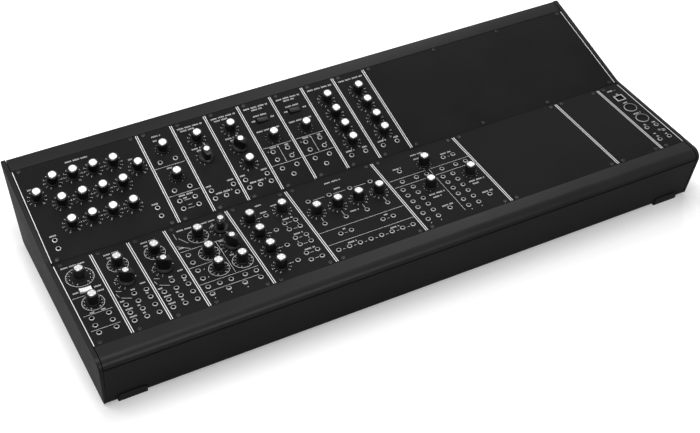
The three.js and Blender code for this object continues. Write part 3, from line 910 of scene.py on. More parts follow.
@dataclass(frozen=True)
class CaseForm:
    """Sizes of the case, seen from the side, in millimetres from its front."""

    row_width: float = 711.2
    panel_height: float = 128.5
    panel_gap: float = 0.4
    row_gap: float = 3.45
    row_drop: float = 1.0
    lower_tilt: float = 0.0
    upper_tilt: float = math.radians(15)
    seam: float = 0.4
    cheek_thickness: float = 5.4
    cheek_foot_thickness: float = 2.5
    cheek_rise: float = 0.8
    cheek_round: float = 1.2
    nose_depth: float = 24.9
    front_height: float = 67.9
    nose_radius: float = 10.5
    kink_radius: float = 14.0
    corner_radius: float = 3.0
    front_foot_radius: float = 1.6
    rear_foot_radius: float = 6.0
    front_lean: float = math.radians(9.7)
    rear_lean: float = math.radians(12)
    rear_bezel_depth: float = 20.4
    bezel_inset: float = 0.6
    tub_inset: float = 0.4
    bezel_wall: float = 2.0
    flange_depth: float = 9.0
    front_seam_height: float = 58.0
    rear_seam_drop: float = 9.0
    foot_height: float = 2.2
    foot_width: float = 31.0
    foot_depth: float = 26.0
    foot_inset: float = 17.8
    foot_sole: float = 1.6
    foot_rise: float = 7.7
    foot_corner: float = 4.0
    seat_gap: float = 0.4
    fitting_height: float = 46.0

    def lower(self) -> RowFrame:
        """The lower row."""
        return RowFrame(Vector((self.nose_depth, self.front_height)), self.lower_tilt)

    def upper(self) -> RowFrame:
        """The upper row."""
        lean = (self.lower_tilt + self.upper_tilt) / 2
        heading = Vector((math.cos(lean), math.sin(lean)))
        drop = Vector((heading.y, -heading.x)) * self.row_drop
        edge = self.lower().point(self.panel_height, 0)
        return RowFrame(edge + heading * self.row_gap + drop, self.upper_tilt)

    def deck(self, row: RowFrame) -> Face:
        """The upper edge of the cheeks over a row."""
        return Face(row.point(0, self.cheek_rise), row.heading())

    def front_wall(self) -> Face:
        """The leaning front."""
        centre = self.deck(self.lower()).inset(self.nose_radius)
        nose = centre.crossing(Face(Vector((self.nose_radius, 0)), Vector((0, 1))))
        up = Vector((-math.sin(self.front_lean), math.cos(self.front_lean)))
        return Face(nose - Vector((up.y, -up.x)) * self.nose_radius, up)

    def rear_wall(self) -> Face:
        """The leaning rear."""
        reach = self.panel_height + self.panel_gap + self.rear_bezel_depth
        point = self.upper().point(reach, self.cheek_rise)
        return Face(point, Vector((-math.sin(self.rear_lean), -math.cos(self.rear_lean))))

    def base(self) -> Face:
        """The underside."""
        return Face(Vector((0, self.foot_height)), Vector((-1, 0)))

    def middle(self) -> float:
        """Middle of the case's depth, with the steps of the frame's own arcs."""
        nose = self.front_wall().fillet(self.deck(self.lower()), self.nose_radius, 7)
        rear = self.deck(self.upper()).fillet(self.rear_wall(), self.corner_radius, 3)
        return (min(point.x for point in nose) + max(point.x for point in rear)) / 2

    def place(self) -> Place:
        """Moves a part drawn from the front of the case to the frame's origin."""
        return Matrix.Translation((0, -self.middle(), 0))

    def row_place(self, row: RowFrame) -> Place:
        """The place of a row's lower left corner, with Z square to the panels."""
        corner = Matrix.Translation((-self.row_width / 2, row.origin.x - self.middle(), row.origin.y))
        return corner @ Matrix.Rotation(row.tilt, 4, "X")

    def rear_place(self, across: float) -> Place:
        """A place on the rear wall's outside: X to the left seen from behind, Y up and Z outwards."""
        skin = self.rear_wall().inset(self.bezel_inset)
        spot = skin.at_height(self.fitting_height)
        up, outward = Vector((0, *-skin.direction)), Vector((0, *-skin.right()))
        turn = Matrix((up.cross(outward), up, outward)).transposed().to_4x4()
        return Matrix.Translation((-across, spot.x - self.middle(), spot.y)) @ turn


FORM = CaseForm()


def on_wall(wall: Face, slack: float = 0.02) -> EdgeTest:
    """A test that passes edges that lie on a wall of the case."""
    return both_ends(lambda point: abs(point.y - wall.at_height(point.z).x) < slack)


@dataclass
class Case:
    """The case: cheeks, bezels, feet and rear fittings round the frame's tub and rails.

    Attributes:
        form: Sizes of the case.
        nose_steps: Segments of the nose's arc.
        inlet_place: How far the power inlet is left of the middle, seen from the front.
        inlet_radius: Radius of the inlet's collar.
        inlet_bore: Radius of the inlet's bore.
        inlet_rise: How far the collar stands out.
        inlet_round: Rounding of the collar.
        inlet_floor: How far the bore's rim stands out, and how deep it is.
        inlet_roots: How far from the wall the collar and the bore start.
        inlet_border: Width of the rim round the bore.
        recess_shade_thickness: Thickness of the black plate of painted shade behind a foot's toe.
        recess_shade_margin: How far the painted shade stands out round the toe.
        bar_clearance: How far the bezels end short of the row.
        seam_strip: Height of the black strip of painted shade under the front bezel.
        seam_thickness: Thickness of that strip.
        seam_gap: How far it lies under the bezel.
        seam_ease: Width of the bevel on it.
        ease: Width of the bevel on sharp metal edges.
        foot_ease: Width of the bevel on a foot's toe.
        joint_lap: How far the strip between the rows reaches under each, and lies under their faces.
        joint_thickness: Thickness of that strip.
        joint_ease: Width of the bevel on it.
    """

    form: CaseForm = FORM
    nose_steps: int = 14
    inlet_place: float = 280.0
    inlet_radius: float = 5.6
    inlet_bore: float = 1.9
    inlet_rise: float = 2.1
    inlet_round: float = 0.5
    inlet_floor: Point = (1.2, 0.8)
    inlet_roots: Point = (0.05, 0.1)
    inlet_border: float = 0.3
    recess_shade_thickness: float = 0.3
    recess_shade_margin: float = 0.9
    bar_clearance: float = 0.45
    seam_strip: float = 1.1
    seam_thickness: float = 0.15
    seam_gap: float = 0.1
    seam_ease: float = 0.04
    ease: float = 0.25
    foot_ease: float = 0.5
    joint_lap: float = 0.25
    joint_thickness: float = 1.5
    joint_ease: float = 0.1

    def cheek_outline(self) -> list[Vector]:
        """The outline of the cheeks."""
        form = self.form
        lower, upper = form.deck(form.lower()), form.deck(form.upper())
        return [
            *form.front_wall().fillet(lower, form.nose_radius, self.nose_steps),
            *lower.fillet(upper, form.kink_radius, 4),
            *upper.fillet(form.rear_wall(), form.corner_radius, 5),
            *form.rear_wall().fillet(form.base(), form.rear_foot_radius, 4),
            *form.base().fillet(form.front_wall(), form.front_foot_radius, 4),
        ]

    def cheek(self, side: int) -> Part:
        """A side cheek with its outer edge rounded, thinner towards its foot.

        Args:
            side: -1 for the left and 1 for the right.

        Returns:
            The cheek.
        """
        form = self.form
        inner = side * (form.row_width / 2 + form.seam)
        outer = inner + side * form.cheek_thickness
        outline = self.cheek_outline()
        plate = profile_bar(outline, min(inner, outer), max(inner, outer))
        bevel(plate, both_ends(lambda point: abs(point.x - outer) < TOUCH), form.cheek_round, 3)
        bevel(plate, both_ends(lambda point: abs(point.x - inner) < TOUCH), self.ease, 1)
        top = max(point.y for point in outline)
        for corner in plate.data.vertices:
            rise = (corner.co.z - form.foot_height) / (top - form.foot_height)
            thickness = form.cheek_foot_thickness + (form.cheek_thickness - form.cheek_foot_thickness) * rise
            corner.co.x = inner + (corner.co.x - inner) * thickness / form.cheek_thickness
        return plate

    def front_bezel(self) -> Part:
        """The strip that rounds the nose from the lower row to the seam."""
        form = self.form
        lower = form.deck(form.lower()).inset(form.bezel_inset)
        nose = Face(Vector((form.bezel_inset, 0)), Vector((0, 1)))
        edge = lower.crossing(form.lower().end(-form.panel_gap))
        lip = form.front_seam_height + form.bezel_wall
        inside = lower.inset(form.bezel_wall).crossing(Face(Vector((form.nose_radius, 0)), Vector((0, 1))))
        points = [
            Vector((form.bezel_inset, form.front_seam_height)),
            *nose.fillet(lower, form.nose_radius - form.bezel_inset, self.nose_steps),
            edge,
            lower.across(edge, form.bezel_wall),
            inside,
            Vector((form.bezel_inset + form.bezel_wall, lip)),
            Vector((form.flange_depth, lip)),
            Vector((form.flange_depth, form.front_seam_height)),
        ]
        return self.bar(points)

    def rear_bezel(self) -> Part:
        """The angle over the rear corner."""
        form = self.form
        upper = form.deck(form.upper()).inset(form.bezel_inset)
        skin = form.rear_wall().inset(form.bezel_inset)
        edge = upper.crossing(form.upper().end(form.panel_height + form.panel_gap))
        seam_point = skin.at_height(form.rear_wall().point.y - form.rear_seam_drop)
        points = [
            edge,
            *upper.fillet(skin, form.corner_radius - form.bezel_inset, 5),
            seam_point,
            skin.across(seam_point, form.bezel_wall),
            upper.inset(form.bezel_wall).crossing(skin.inset(form.bezel_wall)),
            upper.across(edge, form.bezel_wall),
        ]
        return self.bar(points)

    def half_bar(self) -> float:
        """Half the length of the pieces that run along the rows."""
        return self.form.row_width / 2 - self.bar_clearance

    def bar(self, points: Sequence[Vector]) -> Part:
        """A bar as long as the rows, with its long sharp edges eased."""
        part = profile_bar(points, -self.half_bar(), self.half_bar())
        sharp = {(round(p[0], 2), round(p[1], 2)) for p in (points[0], *points[-3:])}

        def long_and_sharp(edge: bmesh.types.BMEdge) -> bool:
            """Passes edges that run along the bar at one of its sharp corners."""
            first, second = ends(edge)
            return (first.yz - second.yz).length < TOUCH and (round(first.y, 2), round(first.z, 2)) in sharp

        bevel(part, long_and_sharp, self.ease, 1)
        return part

    def foot(self, wall: Face, direction: int) -> Part:
        """A rubber foot that wraps a lower corner, with the corners of its toe rounded.

        Args:
            wall: The wall that the toe climbs.
            direction: 1 where the sole runs to the rear, -1 where it runs to the front.

        Returns:
            The foot.
        """
        form = self.form
        outer, inner = wall.inset(-form.foot_sole), wall.inset(-form.seat_gap)
        toe, sole = form.foot_height + form.foot_rise, form.foot_height - form.seat_gap
        heel = outer.at_height(0).x + direction * form.foot_depth
        points = [
            outer.at_height(0),
            outer.at_height(toe + OVERRUN),
            inner.at_height(toe + OVERRUN),
            inner.at_height(sole),
            Vector((heel, sole)),
            Vector((heel - direction * form.foot_sole, 0)),
        ]
        half = form.foot_width / 2
        part = profile_bar(points, -half - OVERRUN, half + OVERRUN)
        self.round_top(part, half, toe, form.foot_corner)
        bevel(part, on_wall(outer), self.foot_ease, 2)
        return part

    def wall_plate(self, wall: Face, thickness: float, low: float, top: float, half: float) -> Part:
        """A thin plate on a wall.

        Args:
            wall: The wall.
            thickness: How far the plate stands out.
            low: Height of its lower edge.
            top: Height of its upper edge.
            half: Half its width.

        Returns:
            The plate.
        """
        outer, inner = wall.inset(-thickness), wall.inset(-SKIN_GAP)
        points = [outer.at_height(low), outer.at_height(top), inner.at_height(top), inner.at_height(low)]
        return profile_bar(points, -half, half)

    def painted_recess_shade(self, wall: Face) -> Part:
        """A thin black plate of painted shade round the toe of a foot, on the tub's wall, where a recess
        round the toe would lie in shadow.
        """
        form = self.form
        top = form.foot_height + form.foot_rise + self.recess_shade_margin
        low = form.foot_height + form.rear_foot_radius / 2
        half = form.foot_width / 2 + self.recess_shade_margin
        part = self.wall_plate(wall, self.recess_shade_thickness, low, top + OVERRUN, half + OVERRUN)
        self.round_top(part, half, top, form.foot_corner + self.recess_shade_margin)
        return part

    def seam_shade(self, wall: Face) -> Part:
        """The black strip of painted shade on the tub's wall under the front bezel, where the seam would lie
        in shadow.
        """
        top = self.form.front_seam_height - self.seam_gap
        strip = self.wall_plate(wall, self.seam_thickness, top - self.seam_strip, top, self.half_bar())
        bevel(strip, on_wall(wall.inset(-self.seam_thickness)), self.seam_ease, 1)
        return strip

    def row_joint(self) -> Part:
        """The strip that closes the gap between the rows, just under the panels' faces."""
        form, lap = self.form, self.joint_lap
        near = form.lower().point(form.panel_height + lap, -lap)
        far = form.upper().point(-lap, -lap)
        below = Vector((0, self.joint_thickness))
        strip = profile_bar([near, far, far - below, near - below], -self.half_bar(), self.half_bar())
        bevel(strip, both_ends(lambda point: (point.yz - near).length < TOUCH), self.joint_ease, 1)
        return strip

    def round_top(self, part: Part, half: float, top: float, radius: float) -> None:
        """Trims an upright plate with a mould whose two upper corners are rounded.

        Args:
            part: The plate, centred along X.
            half: Half the width that is left.
            top: Height of the upper edge that is left.
            radius: Radius of the corners.
        """
        reach = max(abs(vertex.co.y) for vertex in part.data.vertices) + OVERRUN
        mould = block(2 * half, 2 * reach, -top, top)
        corners = both_ends(lambda point: point.z > top - TOUCH and abs(point.x) > half - TOUCH)
        bevel(mould, corners, radius, 7)
        carved(part, mould, "INTERSECT")
        face_out(part)

    def inlet(self) -> tuple[Part, Part]:
        """The collar and the bore of the power inlet."""
        root, low = self.inlet_roots
        collar = ring(self.inlet_radius, self.inlet_bore, 40, root, self.inlet_rise, self.inlet_round)
        rim, depth = self.inlet_floor
        bore = drum(self.inlet_bore, self.inlet_bore, 24, low, rim)
        sink(bore, upward, self.inlet_border, -depth)
        return collar, bore

    def build(self, shop: Workshop, nodes: dict[str, Part]) -> None:
        """Builds and dresses the case.

        Args:
            shop: Gives the finishes.
            nodes: The frame's CAD nodes.
        """
        form, place = self.form, self.form.place()
        for name, side in (("left_cheek", -1), ("right_cheek", 1)):
            shop.finish(self.cheek(side), f"{name}_plate", Slot.CASE, place=place, replaces=[name])
        shop.finish(self.front_bezel(), "front_bezel_strip", Slot.CASE, place=place, replaces=["front_bezel"])
        shop.finish(self.rear_bezel(), "rear_bezel_strip", Slot.CASE, place=place, replaces=["rear_bezel"])
        reach = form.row_width / 2 + form.seam + form.cheek_thickness
        reach -= form.foot_inset + form.foot_width / 2
        skins = {
            "front": (form.front_wall().inset(form.tub_inset), 1),
            "rear": (form.rear_wall().inset(form.bezel_inset), -1),
        }
        for end, (wall, direction) in skins.items():
            # Each foot: its rubber pad, and a black plate of painted shade behind its toe.
            shapes = {"pad": pattern(self.foot(wall, direction)), "seat": pattern(self.painted_recess_shade(wall))}
            for side, x in (("left", -reach), ("right", reach)):
                node = f"foot_{end}_{side}"
                for piece, shape in shapes.items():
                    slot, stands_for = (Slot.RUBBER, [node]) if piece == "pad" else (Slot.BORE, [])
                    part = copies(shape, [at((x, 0))])
                    shop.finish(part, f"{node}_{piece}", slot, place=place, replaces=stands_for)
        # A black strip of painted shade under the front bezel's seam.
        shop.finish(self.seam_shade(skins["front"][0]), "front_seam_strip", Slot.BORE, place=place)
        shop.finish(self.row_joint(), "row_joint", Slot.PANEL, place=place)
        collar, bore = self.inlet()
        spot = form.rear_place(self.inlet_place)
        shop.finish(collar, "power_inlet_collar", Slot.SOCKET, place=spot)
        shop.finish(bore, "power_inlet_bore", Slot.BORE, place=spot)
        shop.dress(nodes["base_tub"], Slot.CASE)
        for name in ("front_rail", "middle_rail", "rear_rail"):
            shop.dress(nodes[name], Slot.RAIL)
        shop.dress(nodes["power_unit"], Slot.BOARD)


# Controls


SEAT = FORM.seat_gap
KNOB_REST = math.radians(-120)
SELECTOR_START = math.radians(-120)
SELECTOR_STEP = math.radians(-30)
ROCKER_REST = math.radians(5)


def spun_map(part: Part, radius: float) -> Part:
    """Lays the turned-metal map on a cap, centred on its axis.

    Args:
        part: The cap, drawn about the origin.
        radius: Radius of the cap.

    Returns:
        The cap.
    """
    mesh = part.data
    while mesh.uv_layers:
        mesh.uv_layers.remove(mesh.uv_layers[0])
    layer = mesh.uv_layers.new(name=SPUN_MAP)
    for loop in mesh.loops:
        point = mesh.vertices[loop.vertex_index].co
        layer.data[loop.index].uv = (0.5 + point.x / (2 * radius), 0.5 + point.y / (2 * radius))
    return part


@dataclass
class Control:
    """What turning controls share: a shaft, a turned cap and a white dash, drawn about the shaft."""

    height: float = 12.7
    cap_radius: float = 4.3
    cap_thickness: float = 0.7
    cap_sides: int = 28
    cap_root: float = 0.4
    cap_round: float = 0.3
    dish_border: float = 0.7
    dish_depth: float = 0.12
    dish_taper: float = 0.96
    dash_width: float = 0.4
    dash_depth: float = 0.3
    dash_rise: float = 0.09
    dash_ease: float = 0.05
    edge_round: float = 0.35
    shaft_radius: float = 3.0
    shaft_tail: float = 2.2
    overlap: float = 0.3

    def shaft(self) -> Part:
        """The shaft through the panel."""
        return drum(self.shaft_radius, self.shaft_radius, 16, -self.shaft_tail, SEAT + self.overlap)

    def cap(self) -> Part:
        """The turned cap, with a rounded rim and a shallow dish."""
        radius, top = self.cap_radius, self.height + self.cap_thickness
        cap = drum(radius, radius, self.cap_sides, self.height - self.cap_root, top)
        bevel(cap, at_height(top), self.cap_round, 2)
        sink(cap, wide_top(radius), self.dish_border, -self.dish_depth, self.dish_taper)
        return spun_map(cap, radius)

    def dash(self, start: float, stop: float) -> Part:
        """A white dash along X, let into the top."""
        top = self.height + self.dash_rise
        mark = block(stop - start, self.dash_width, top - self.dash_depth, top, ((start + stop) / 2, 0))
        bevel(mark, at_height(top), self.dash_ease, 1)
        return mark


@dataclass
class RoundKnob(Control):
    """A fluted knob with its dash on its shoulder."""

    radius: float = 6.2
    flute_depth: float = 0.42
    flutes: int = 22
    draft: float = 0.15
    root: float = 0.4
    shoulder: float = 0.1
    shoulder_round: float = 0.55
    flange_radius: float = 6.9
    flange_draft: float = 0.25
    flange_thickness: float = 1.3
    dash_margins: Point = (0.35, 0.75)

    def body(self, loose: bool = True) -> Part:
        """The moulded body.

        Args:
            loose: Whether it stands clear of the panel on a shaft.

        Returns:
            The body.
        """
        foot = SEAT if loose else SKIN_GAP
        flange_top = foot + self.flange_thickness
        top_radius = self.radius - self.draft
        grip = drum(self.radius, top_radius, self.flutes * 2, flange_top - self.root, self.height)

        def hollow(corner: bmesh.types.BMVert) -> bool:
            """Passes corners in the hollows between the flutes, below the shoulder."""
            turn = math.atan2(corner.co.y, corner.co.x) / (math.tau / (self.flutes * 2))
            return round(turn - 0.5) % 2 == 0 and corner.co.z < self.height - self.shoulder

        factor = 1 - self.flute_depth / self.radius
        resize(grip, hollow, (factor, factor, 1))
        bevel(grip, at_height(self.height), self.shoulder_round, 2)
        flange = drum(self.flange_radius, self.flange_radius - self.flange_draft, 32, foot, flange_top)
        bevel(flange, at_height(flange_top), self.edge_round, 2)
        return joined([grip, flange, self.shaft()] if loose else [grip, flange])

    def fixed_body(self) -> Part:
        """The body of a knob in one piece with its panel."""
        return self.body(False)

    def mark(self) -> Part:
        """The white dash on the shoulder."""
        return self.dash(self.cap_radius + self.dash_margins[0], self.radius - self.dash_margins[1])


@dataclass
class PointerKnob(Control):
    """A selector: a broad grip on a round skirt, with its pointer along X."""

    height: float = 15.5
    cap_radius: float = 3.2
    cap_thickness: float = 0.6
    cap_sides: int = 24
    dash_width: float = 0.35
    skirt_radius: float = 8.8
    skirt_rim: float = 1.1
    skirt_slope: float = 1.4
    skirt_thickness: float = 2.8
    grip_length: float = 16.0
    grip_width: float = 9.0
    tip_width: float = 7.4
    grip_root: float = 0.6
    grip_chamfer: float = 2.2
    grip_round: float = 0.6
    dash_margins: Point = (1.2, 0.9)

    def body(self) -> Part:
        """The moulded body."""
        skirt_top = SEAT + self.skirt_thickness
        rim = SEAT + self.skirt_rim
        skirt = drum(self.skirt_radius, self.skirt_radius, 48, SEAT, rim)
        with editing(skirt):
            choose(skirt, Pick.FACES, upward)
            bpy.ops.mesh.extrude_region_move(TRANSFORM_OT_translate={"value": (0, 0, skirt_top - rim)})
            factor = (self.skirt_radius - self.skirt_slope) / self.skirt_radius
            bpy.ops.transform.resize(value=(factor, factor, 1), center_override=(0, 0, skirt_top))
        bevel(skirt, at_height(skirt_top), self.edge_round, 2)
        grip = block(self.grip_length, self.grip_width, skirt_top - self.grip_root, self.height)
        with editing(grip):
            bpy.ops.mesh.select_all(action="SELECT")
            bpy.ops.mesh.bisect(plane_co=(0, 0, 0), plane_no=(1, 0, 0))
        tip = self.grip_length / 2 - TOUCH
        resize(grip, lambda corner: abs(corner.co.x) > tip, (1, self.tip_width / self.grip_width, 1))
        bevel(grip, both_ends(lambda point: abs(point.x) > tip), self.grip_chamfer, 1)
        top = at_height(self.height)

        def outer(edge: bmesh.types.BMEdge) -> bool:
            """Passes edges round the top, apart from the one across its middle."""
            return top(edge) and abs(sum(point.x for point in ends(edge))) > TOUCH

        bevel(grip, outer, self.grip_round, 3)
        return joined([skirt, grip, self.shaft()])

    def mark(self) -> Part:
        """The white dash on the pointer's end."""
        return self.dash(self.cap_radius + self.dash_margins[0], self.grip_length / 2 - self.dash_margins[1])


@dataclass
class Rocker:
    """A rocker switch drawn about its pivot, with its length along X."""

    length: float = 12.4
    width: float = 6.2
    thickness: float = 2.4
    dish: float = 0.7
    shoulder: float = 0.6
    body_length: float = 5.4
    clearance: float = 0.5
    side_clearance: float = 0.3
    pocket_depth: float = 4.2
    wall: float = 0.7
    rim: float = 0.3
    rim_round: float = 0.15
    edge_round: float = 0.3
    edge_start: float = 0.5
    bank_share: float = 0.8
    cut_margin: float = 0.05

    def lever(self) -> Part:
        """The rocker with its dished top."""
        half, body = self.length / 2, self.body_length / 2
        bank = self.thickness - self.dish * self.bank_share
        outline = [
            (-half, self.thickness),
            (-half, -self.shoulder),
            (-body, -self.thickness),
            (body, -self.thickness),
            (half, -self.shoulder),
            (half, self.thickness),
            (half / 2, bank),
            (0, self.thickness - self.dish),
            (-half / 2, bank),
        ]
        lever = profile_bar(outline, -self.width / 2, self.width / 2)
        lever.data.transform(Matrix.Rotation(math.radians(-90), 4, "Z"))
        face_out(lever)
        side, start = self.width / 2 - TOUCH, self.edge_start
        bevel(lever, both_ends(lambda point: abs(point.y) > side and point.z > start), self.edge_round, 2)
        return lever

    def housing(self, wall: float) -> Point:
        """Length and width of what goes round the rocker, with a wall."""
        return self.length + 2 * (self.clearance + wall), self.width + 2 * (self.side_clearance + wall)

    def well(self) -> Part:
        """The open housing that the rocker sits in."""
        low = -self.pocket_depth - self.wall
        well = block(*self.housing(self.wall), low, self.rim)
        bevel(well, at_height(self.rim), self.rim_round, 1)
        sink(well, upward, self.wall - self.rim_round, low - self.rim + self.wall)
        return well

    def opening(self, spot: Point) -> Part:
        """The tool that cuts the housing's place in a panel."""
        return block(*self.housing(self.wall + self.cut_margin), -2 * FORM.bezel_wall, FORM.bezel_wall, spot)


KNOB = RoundKnob()
SELECTOR = PointerKnob()
ROCKER = Rocker()
POWER_ROCKER = Rocker(length=17.0, width=9.4)


# Modules


Spots = tuple[Point, ...]


def grid(columns: Sequence[float], rows: Sequence[float]) -> Spots:
    """Places in rows and columns, as shares of a panel."""
    return tuple((column, row) for row in rows for column in columns)


TENTHS = tuple(range(11))
FIGURE_SHARE = 0.7
NUMBER_HEIGHT = 1.5
TICK_WIDTH = 0.24
LINE_WIDTH = 0.28
CIRCLE_WIDTH = 0.3
CAPTION_HEIGHT = 1.7
LETTER_SHARE = 0.6
GAP_SHARE = 0.28
WORD_PITCH = 6


@dataclass(frozen=True)
class DialForm:
    """The printed scale round a control.

    Attributes:
        rings: Radii of the printed rings.
        ticks: Number of ticks over the sweep.
        tick_start: Radius at which the ticks start.
        tick_length: Length of a tick.
        numbers: Numbers at the ticks, from the first.
        number_radius: Radius of the numbers' middles.
        first: Angle of the first tick in degrees, from X towards Y.
        sweep: Angle from the first to the last tick in degrees, clockwise.
    """

    rings: tuple[float, ...] = ()
    ticks: int = 11
    tick_start: float = 8.4
    tick_length: float = 1.3
    numbers: tuple[int, ...] = ()
    number_radius: float = 11.0
    first: float = -120.0
    sweep: float = 300.0

    def angles(self) -> list[float]:
        """Angles of the ticks in radians."""
        pitch = self.sweep / (self.ticks - 1)
        return [math.radians(self.first - pitch * step) for step in range(self.ticks)]


class Dial(Enum):
    """The scales on the panels."""

    PLAIN = DialForm(tick_start=7.7, tick_length=1.0)
    NUMBERED = DialForm(tick_start=7.7, tick_length=1.0, numbers=TENTHS, number_radius=10.1)
    RINGED = DialForm(rings=(11.0,), tick_start=7.4, tick_length=0.9, numbers=TENTHS, number_radius=9.6)
    SMOOTH = DialForm(
        rings=(11.4,), ticks=21, tick_start=10.3, tick_length=1.0, numbers=TENTHS, number_radius=9.0
    )
    DOUBLE = DialForm(rings=(14.5,), ticks=21, tick_start=12.8, tick_length=1.6, numbers=TENTHS)
    SELECT = DialForm(ticks=6, tick_start=9.8, tick_length=1.6, sweep=150)
    SELECT_NUMBERED = DialForm(
        ticks=6, tick_start=9.4, tick_length=1.2, sweep=150, numbers=(1, 2, 3, 4, 5, 6), number_radius=12.2
    )


@dataclass(frozen=True)
class Module:
    """A module: the places of its controls as shares of its panel, and what is printed on it in millimetres.

    Attributes:
        name: Name of the module.
        units: Width in rack units.
        knobs: Places of its round knobs.
        selectors: Places of its selectors.
        rockers: Places of its rocker switches.
        jacks: Places of its sockets.
        dins: Places of its round multi-pin sockets.
        ports: Places of its square sockets.
        steps: Position that each selector stands at, from 0 to 5.
        loose: Whether its controls have nodes of their own.
        screw_columns: Number of screws along each end.
        knob_dial: Scale round its knobs.
        selector_dial: Scale round its selectors.
        rocker_slot: Finish of its rockers.
        words: Printed captions as left, right and height on the panel.
        lines: Printed lines as the two ends' places.
        dots: Printed dots.
        circles: Printed circles as the middle's place and the radius.
        special_dials: Scales of single knobs by their number.
    """

    name: str
    units: int
    knobs: Spots = ()
    selectors: Spots = ()
    steps: tuple[int, ...] = ()
    rockers: Spots = ()
    jacks: Spots = ()
    dins: Spots = ()
    ports: Spots = ()
    loose: bool = False
    screw_columns: int = 1
    knob_dial: Dial = Dial.PLAIN
    selector_dial: Dial = Dial.SELECT
    rocker_slot: Slot = Slot.KNOB
    words: tuple[tuple[float, float, float], ...] = ()
    lines: tuple[tuple[float, float, float, float], ...] = ()
    dots: Spots = ()
    circles: tuple[tuple[float, float, float], ...] = ()
    special_dials: dict[int, Dial] = field(default_factory=dict)

    def width(self) -> float:
        """Width of the module."""
        return self.units * UNIT

    def spots(self, shares: Spots) -> list[Point]:
        """Places on the panel in millimetres."""
        return [(across * self.width(), up * FORM.panel_height) for across, up in shares]

    def control_names(self, kind: str, spots: Spots) -> list[str]:
        """Names of the nodes of one kind of control."""
        if len(spots) == 1:
            return [f"{self.name}_{kind}"]
        return [f"{self.name}_{kind}_{number}" for number in range(1, len(spots) + 1)]


UNIT = 5.08
PAIR = (0.28, 0.72)
TRIPLE = (0.18, 0.5, 0.82)
OUTER = (0.18, 0.82)
LOW_ROWS = (0.123, 0.21)


def oscillator(name: str) -> Module:
    """A small oscillator."""
    return Module(
        name, 8, loose=True, knobs=((0.5, 0.781),), selectors=((0.5, 0.569),), steps=(3,),
        jacks=grid((0.5, 0.82), (0.405,)) + grid(TRIPLE, (0.312, 0.217, 0.122)), knob_dial=Dial.RINGED,
        selector_dial=Dial.SELECT_NUMBERED,
        words=(
            (11.6, 27.6, 119.5), (13.2, 16.5, 113.8), (30.5, 36.1, 63), (19, 22.4, 58.3), (3.4, 7.7, 46.8),
            (4.6, 11, 33.7), (4.7, 11.4, 22), (17.4, 20.4, 34.3), (18.4, 21.4, 22), (31, 34.2, 47.3),
        ),
        lines=((4.9, 63.5, 10.1, 60.8), (3.9, 59.3, 5.1, 54), (6.5, 52, 16.1, 47)),
        dots=((11.5, 80.7), (8.1, 76.2), (30.8, 76.1)),
    )


def amplifier(name: str) -> Module:
    """An amplifier."""
    return Module(
        name, 8, loose=True, knobs=((0.5, 0.555),), rockers=((0.475, 0.77),),
        jacks=grid(PAIR, (0.404, 0.312, 0.21)) + ((0.5, 0.123),),
        words=(
            (5.1, 35.1, 119.5), (13.2, 26.8, 115.8), (11.4, 28.4, 106.6), (7, 10.6, 100.2),
            (30.6, 34.2, 100.2), (5.8, 21.5, 84.2), (29.5, 34.1, 84.2), (10.3, 20.5, 57.9),
            (28.1, 32.1, 57.1),
        ),
        lines=((3.1, 59.9, 37.6, 59.9), (20.4, 58.3, 20.4, 34.7), (1.6, 33.8, 38.2, 33.8)),
        dots=((6.4, 53.9), (33, 43.6)),
    )


def pass_filter(name: str, step: int, knobs: Spots) -> Module:
    """A filter that passes high or low frequencies, with its selector at a step."""
    return Module(
        name, 8, loose=True, knobs=knobs, selectors=((0.5, 0.565),), steps=(step,),
        jacks=grid(OUTER, (0.21,)) + grid(TRIPLE, (0.123,)), knob_dial=Dial.NUMBERED,
        words=(
            (5.2, 34.6, 119.5), (7.6, 25, 115.7), (9.5, 19.6, 87.4), (14.3, 18.2, 83.8), (3.8, 10, 33.8),
            (29, 37, 33.9), (10.3, 29.7, 21.4),
        ),
    )


def envelope(name: str) -> Module:
    """An envelope generator."""
    return Module(
        name, 8, knobs=grid((0.5,), (0.777, 0.598, 0.418, 0.257)), jacks=grid(PAIR, (0.123,)),
        knob_dial=Dial.NUMBERED, words=((4.9, 35.2, 119.6), (7.6, 17.2, 22.3), (27.8, 32.8, 21.9)),
    )


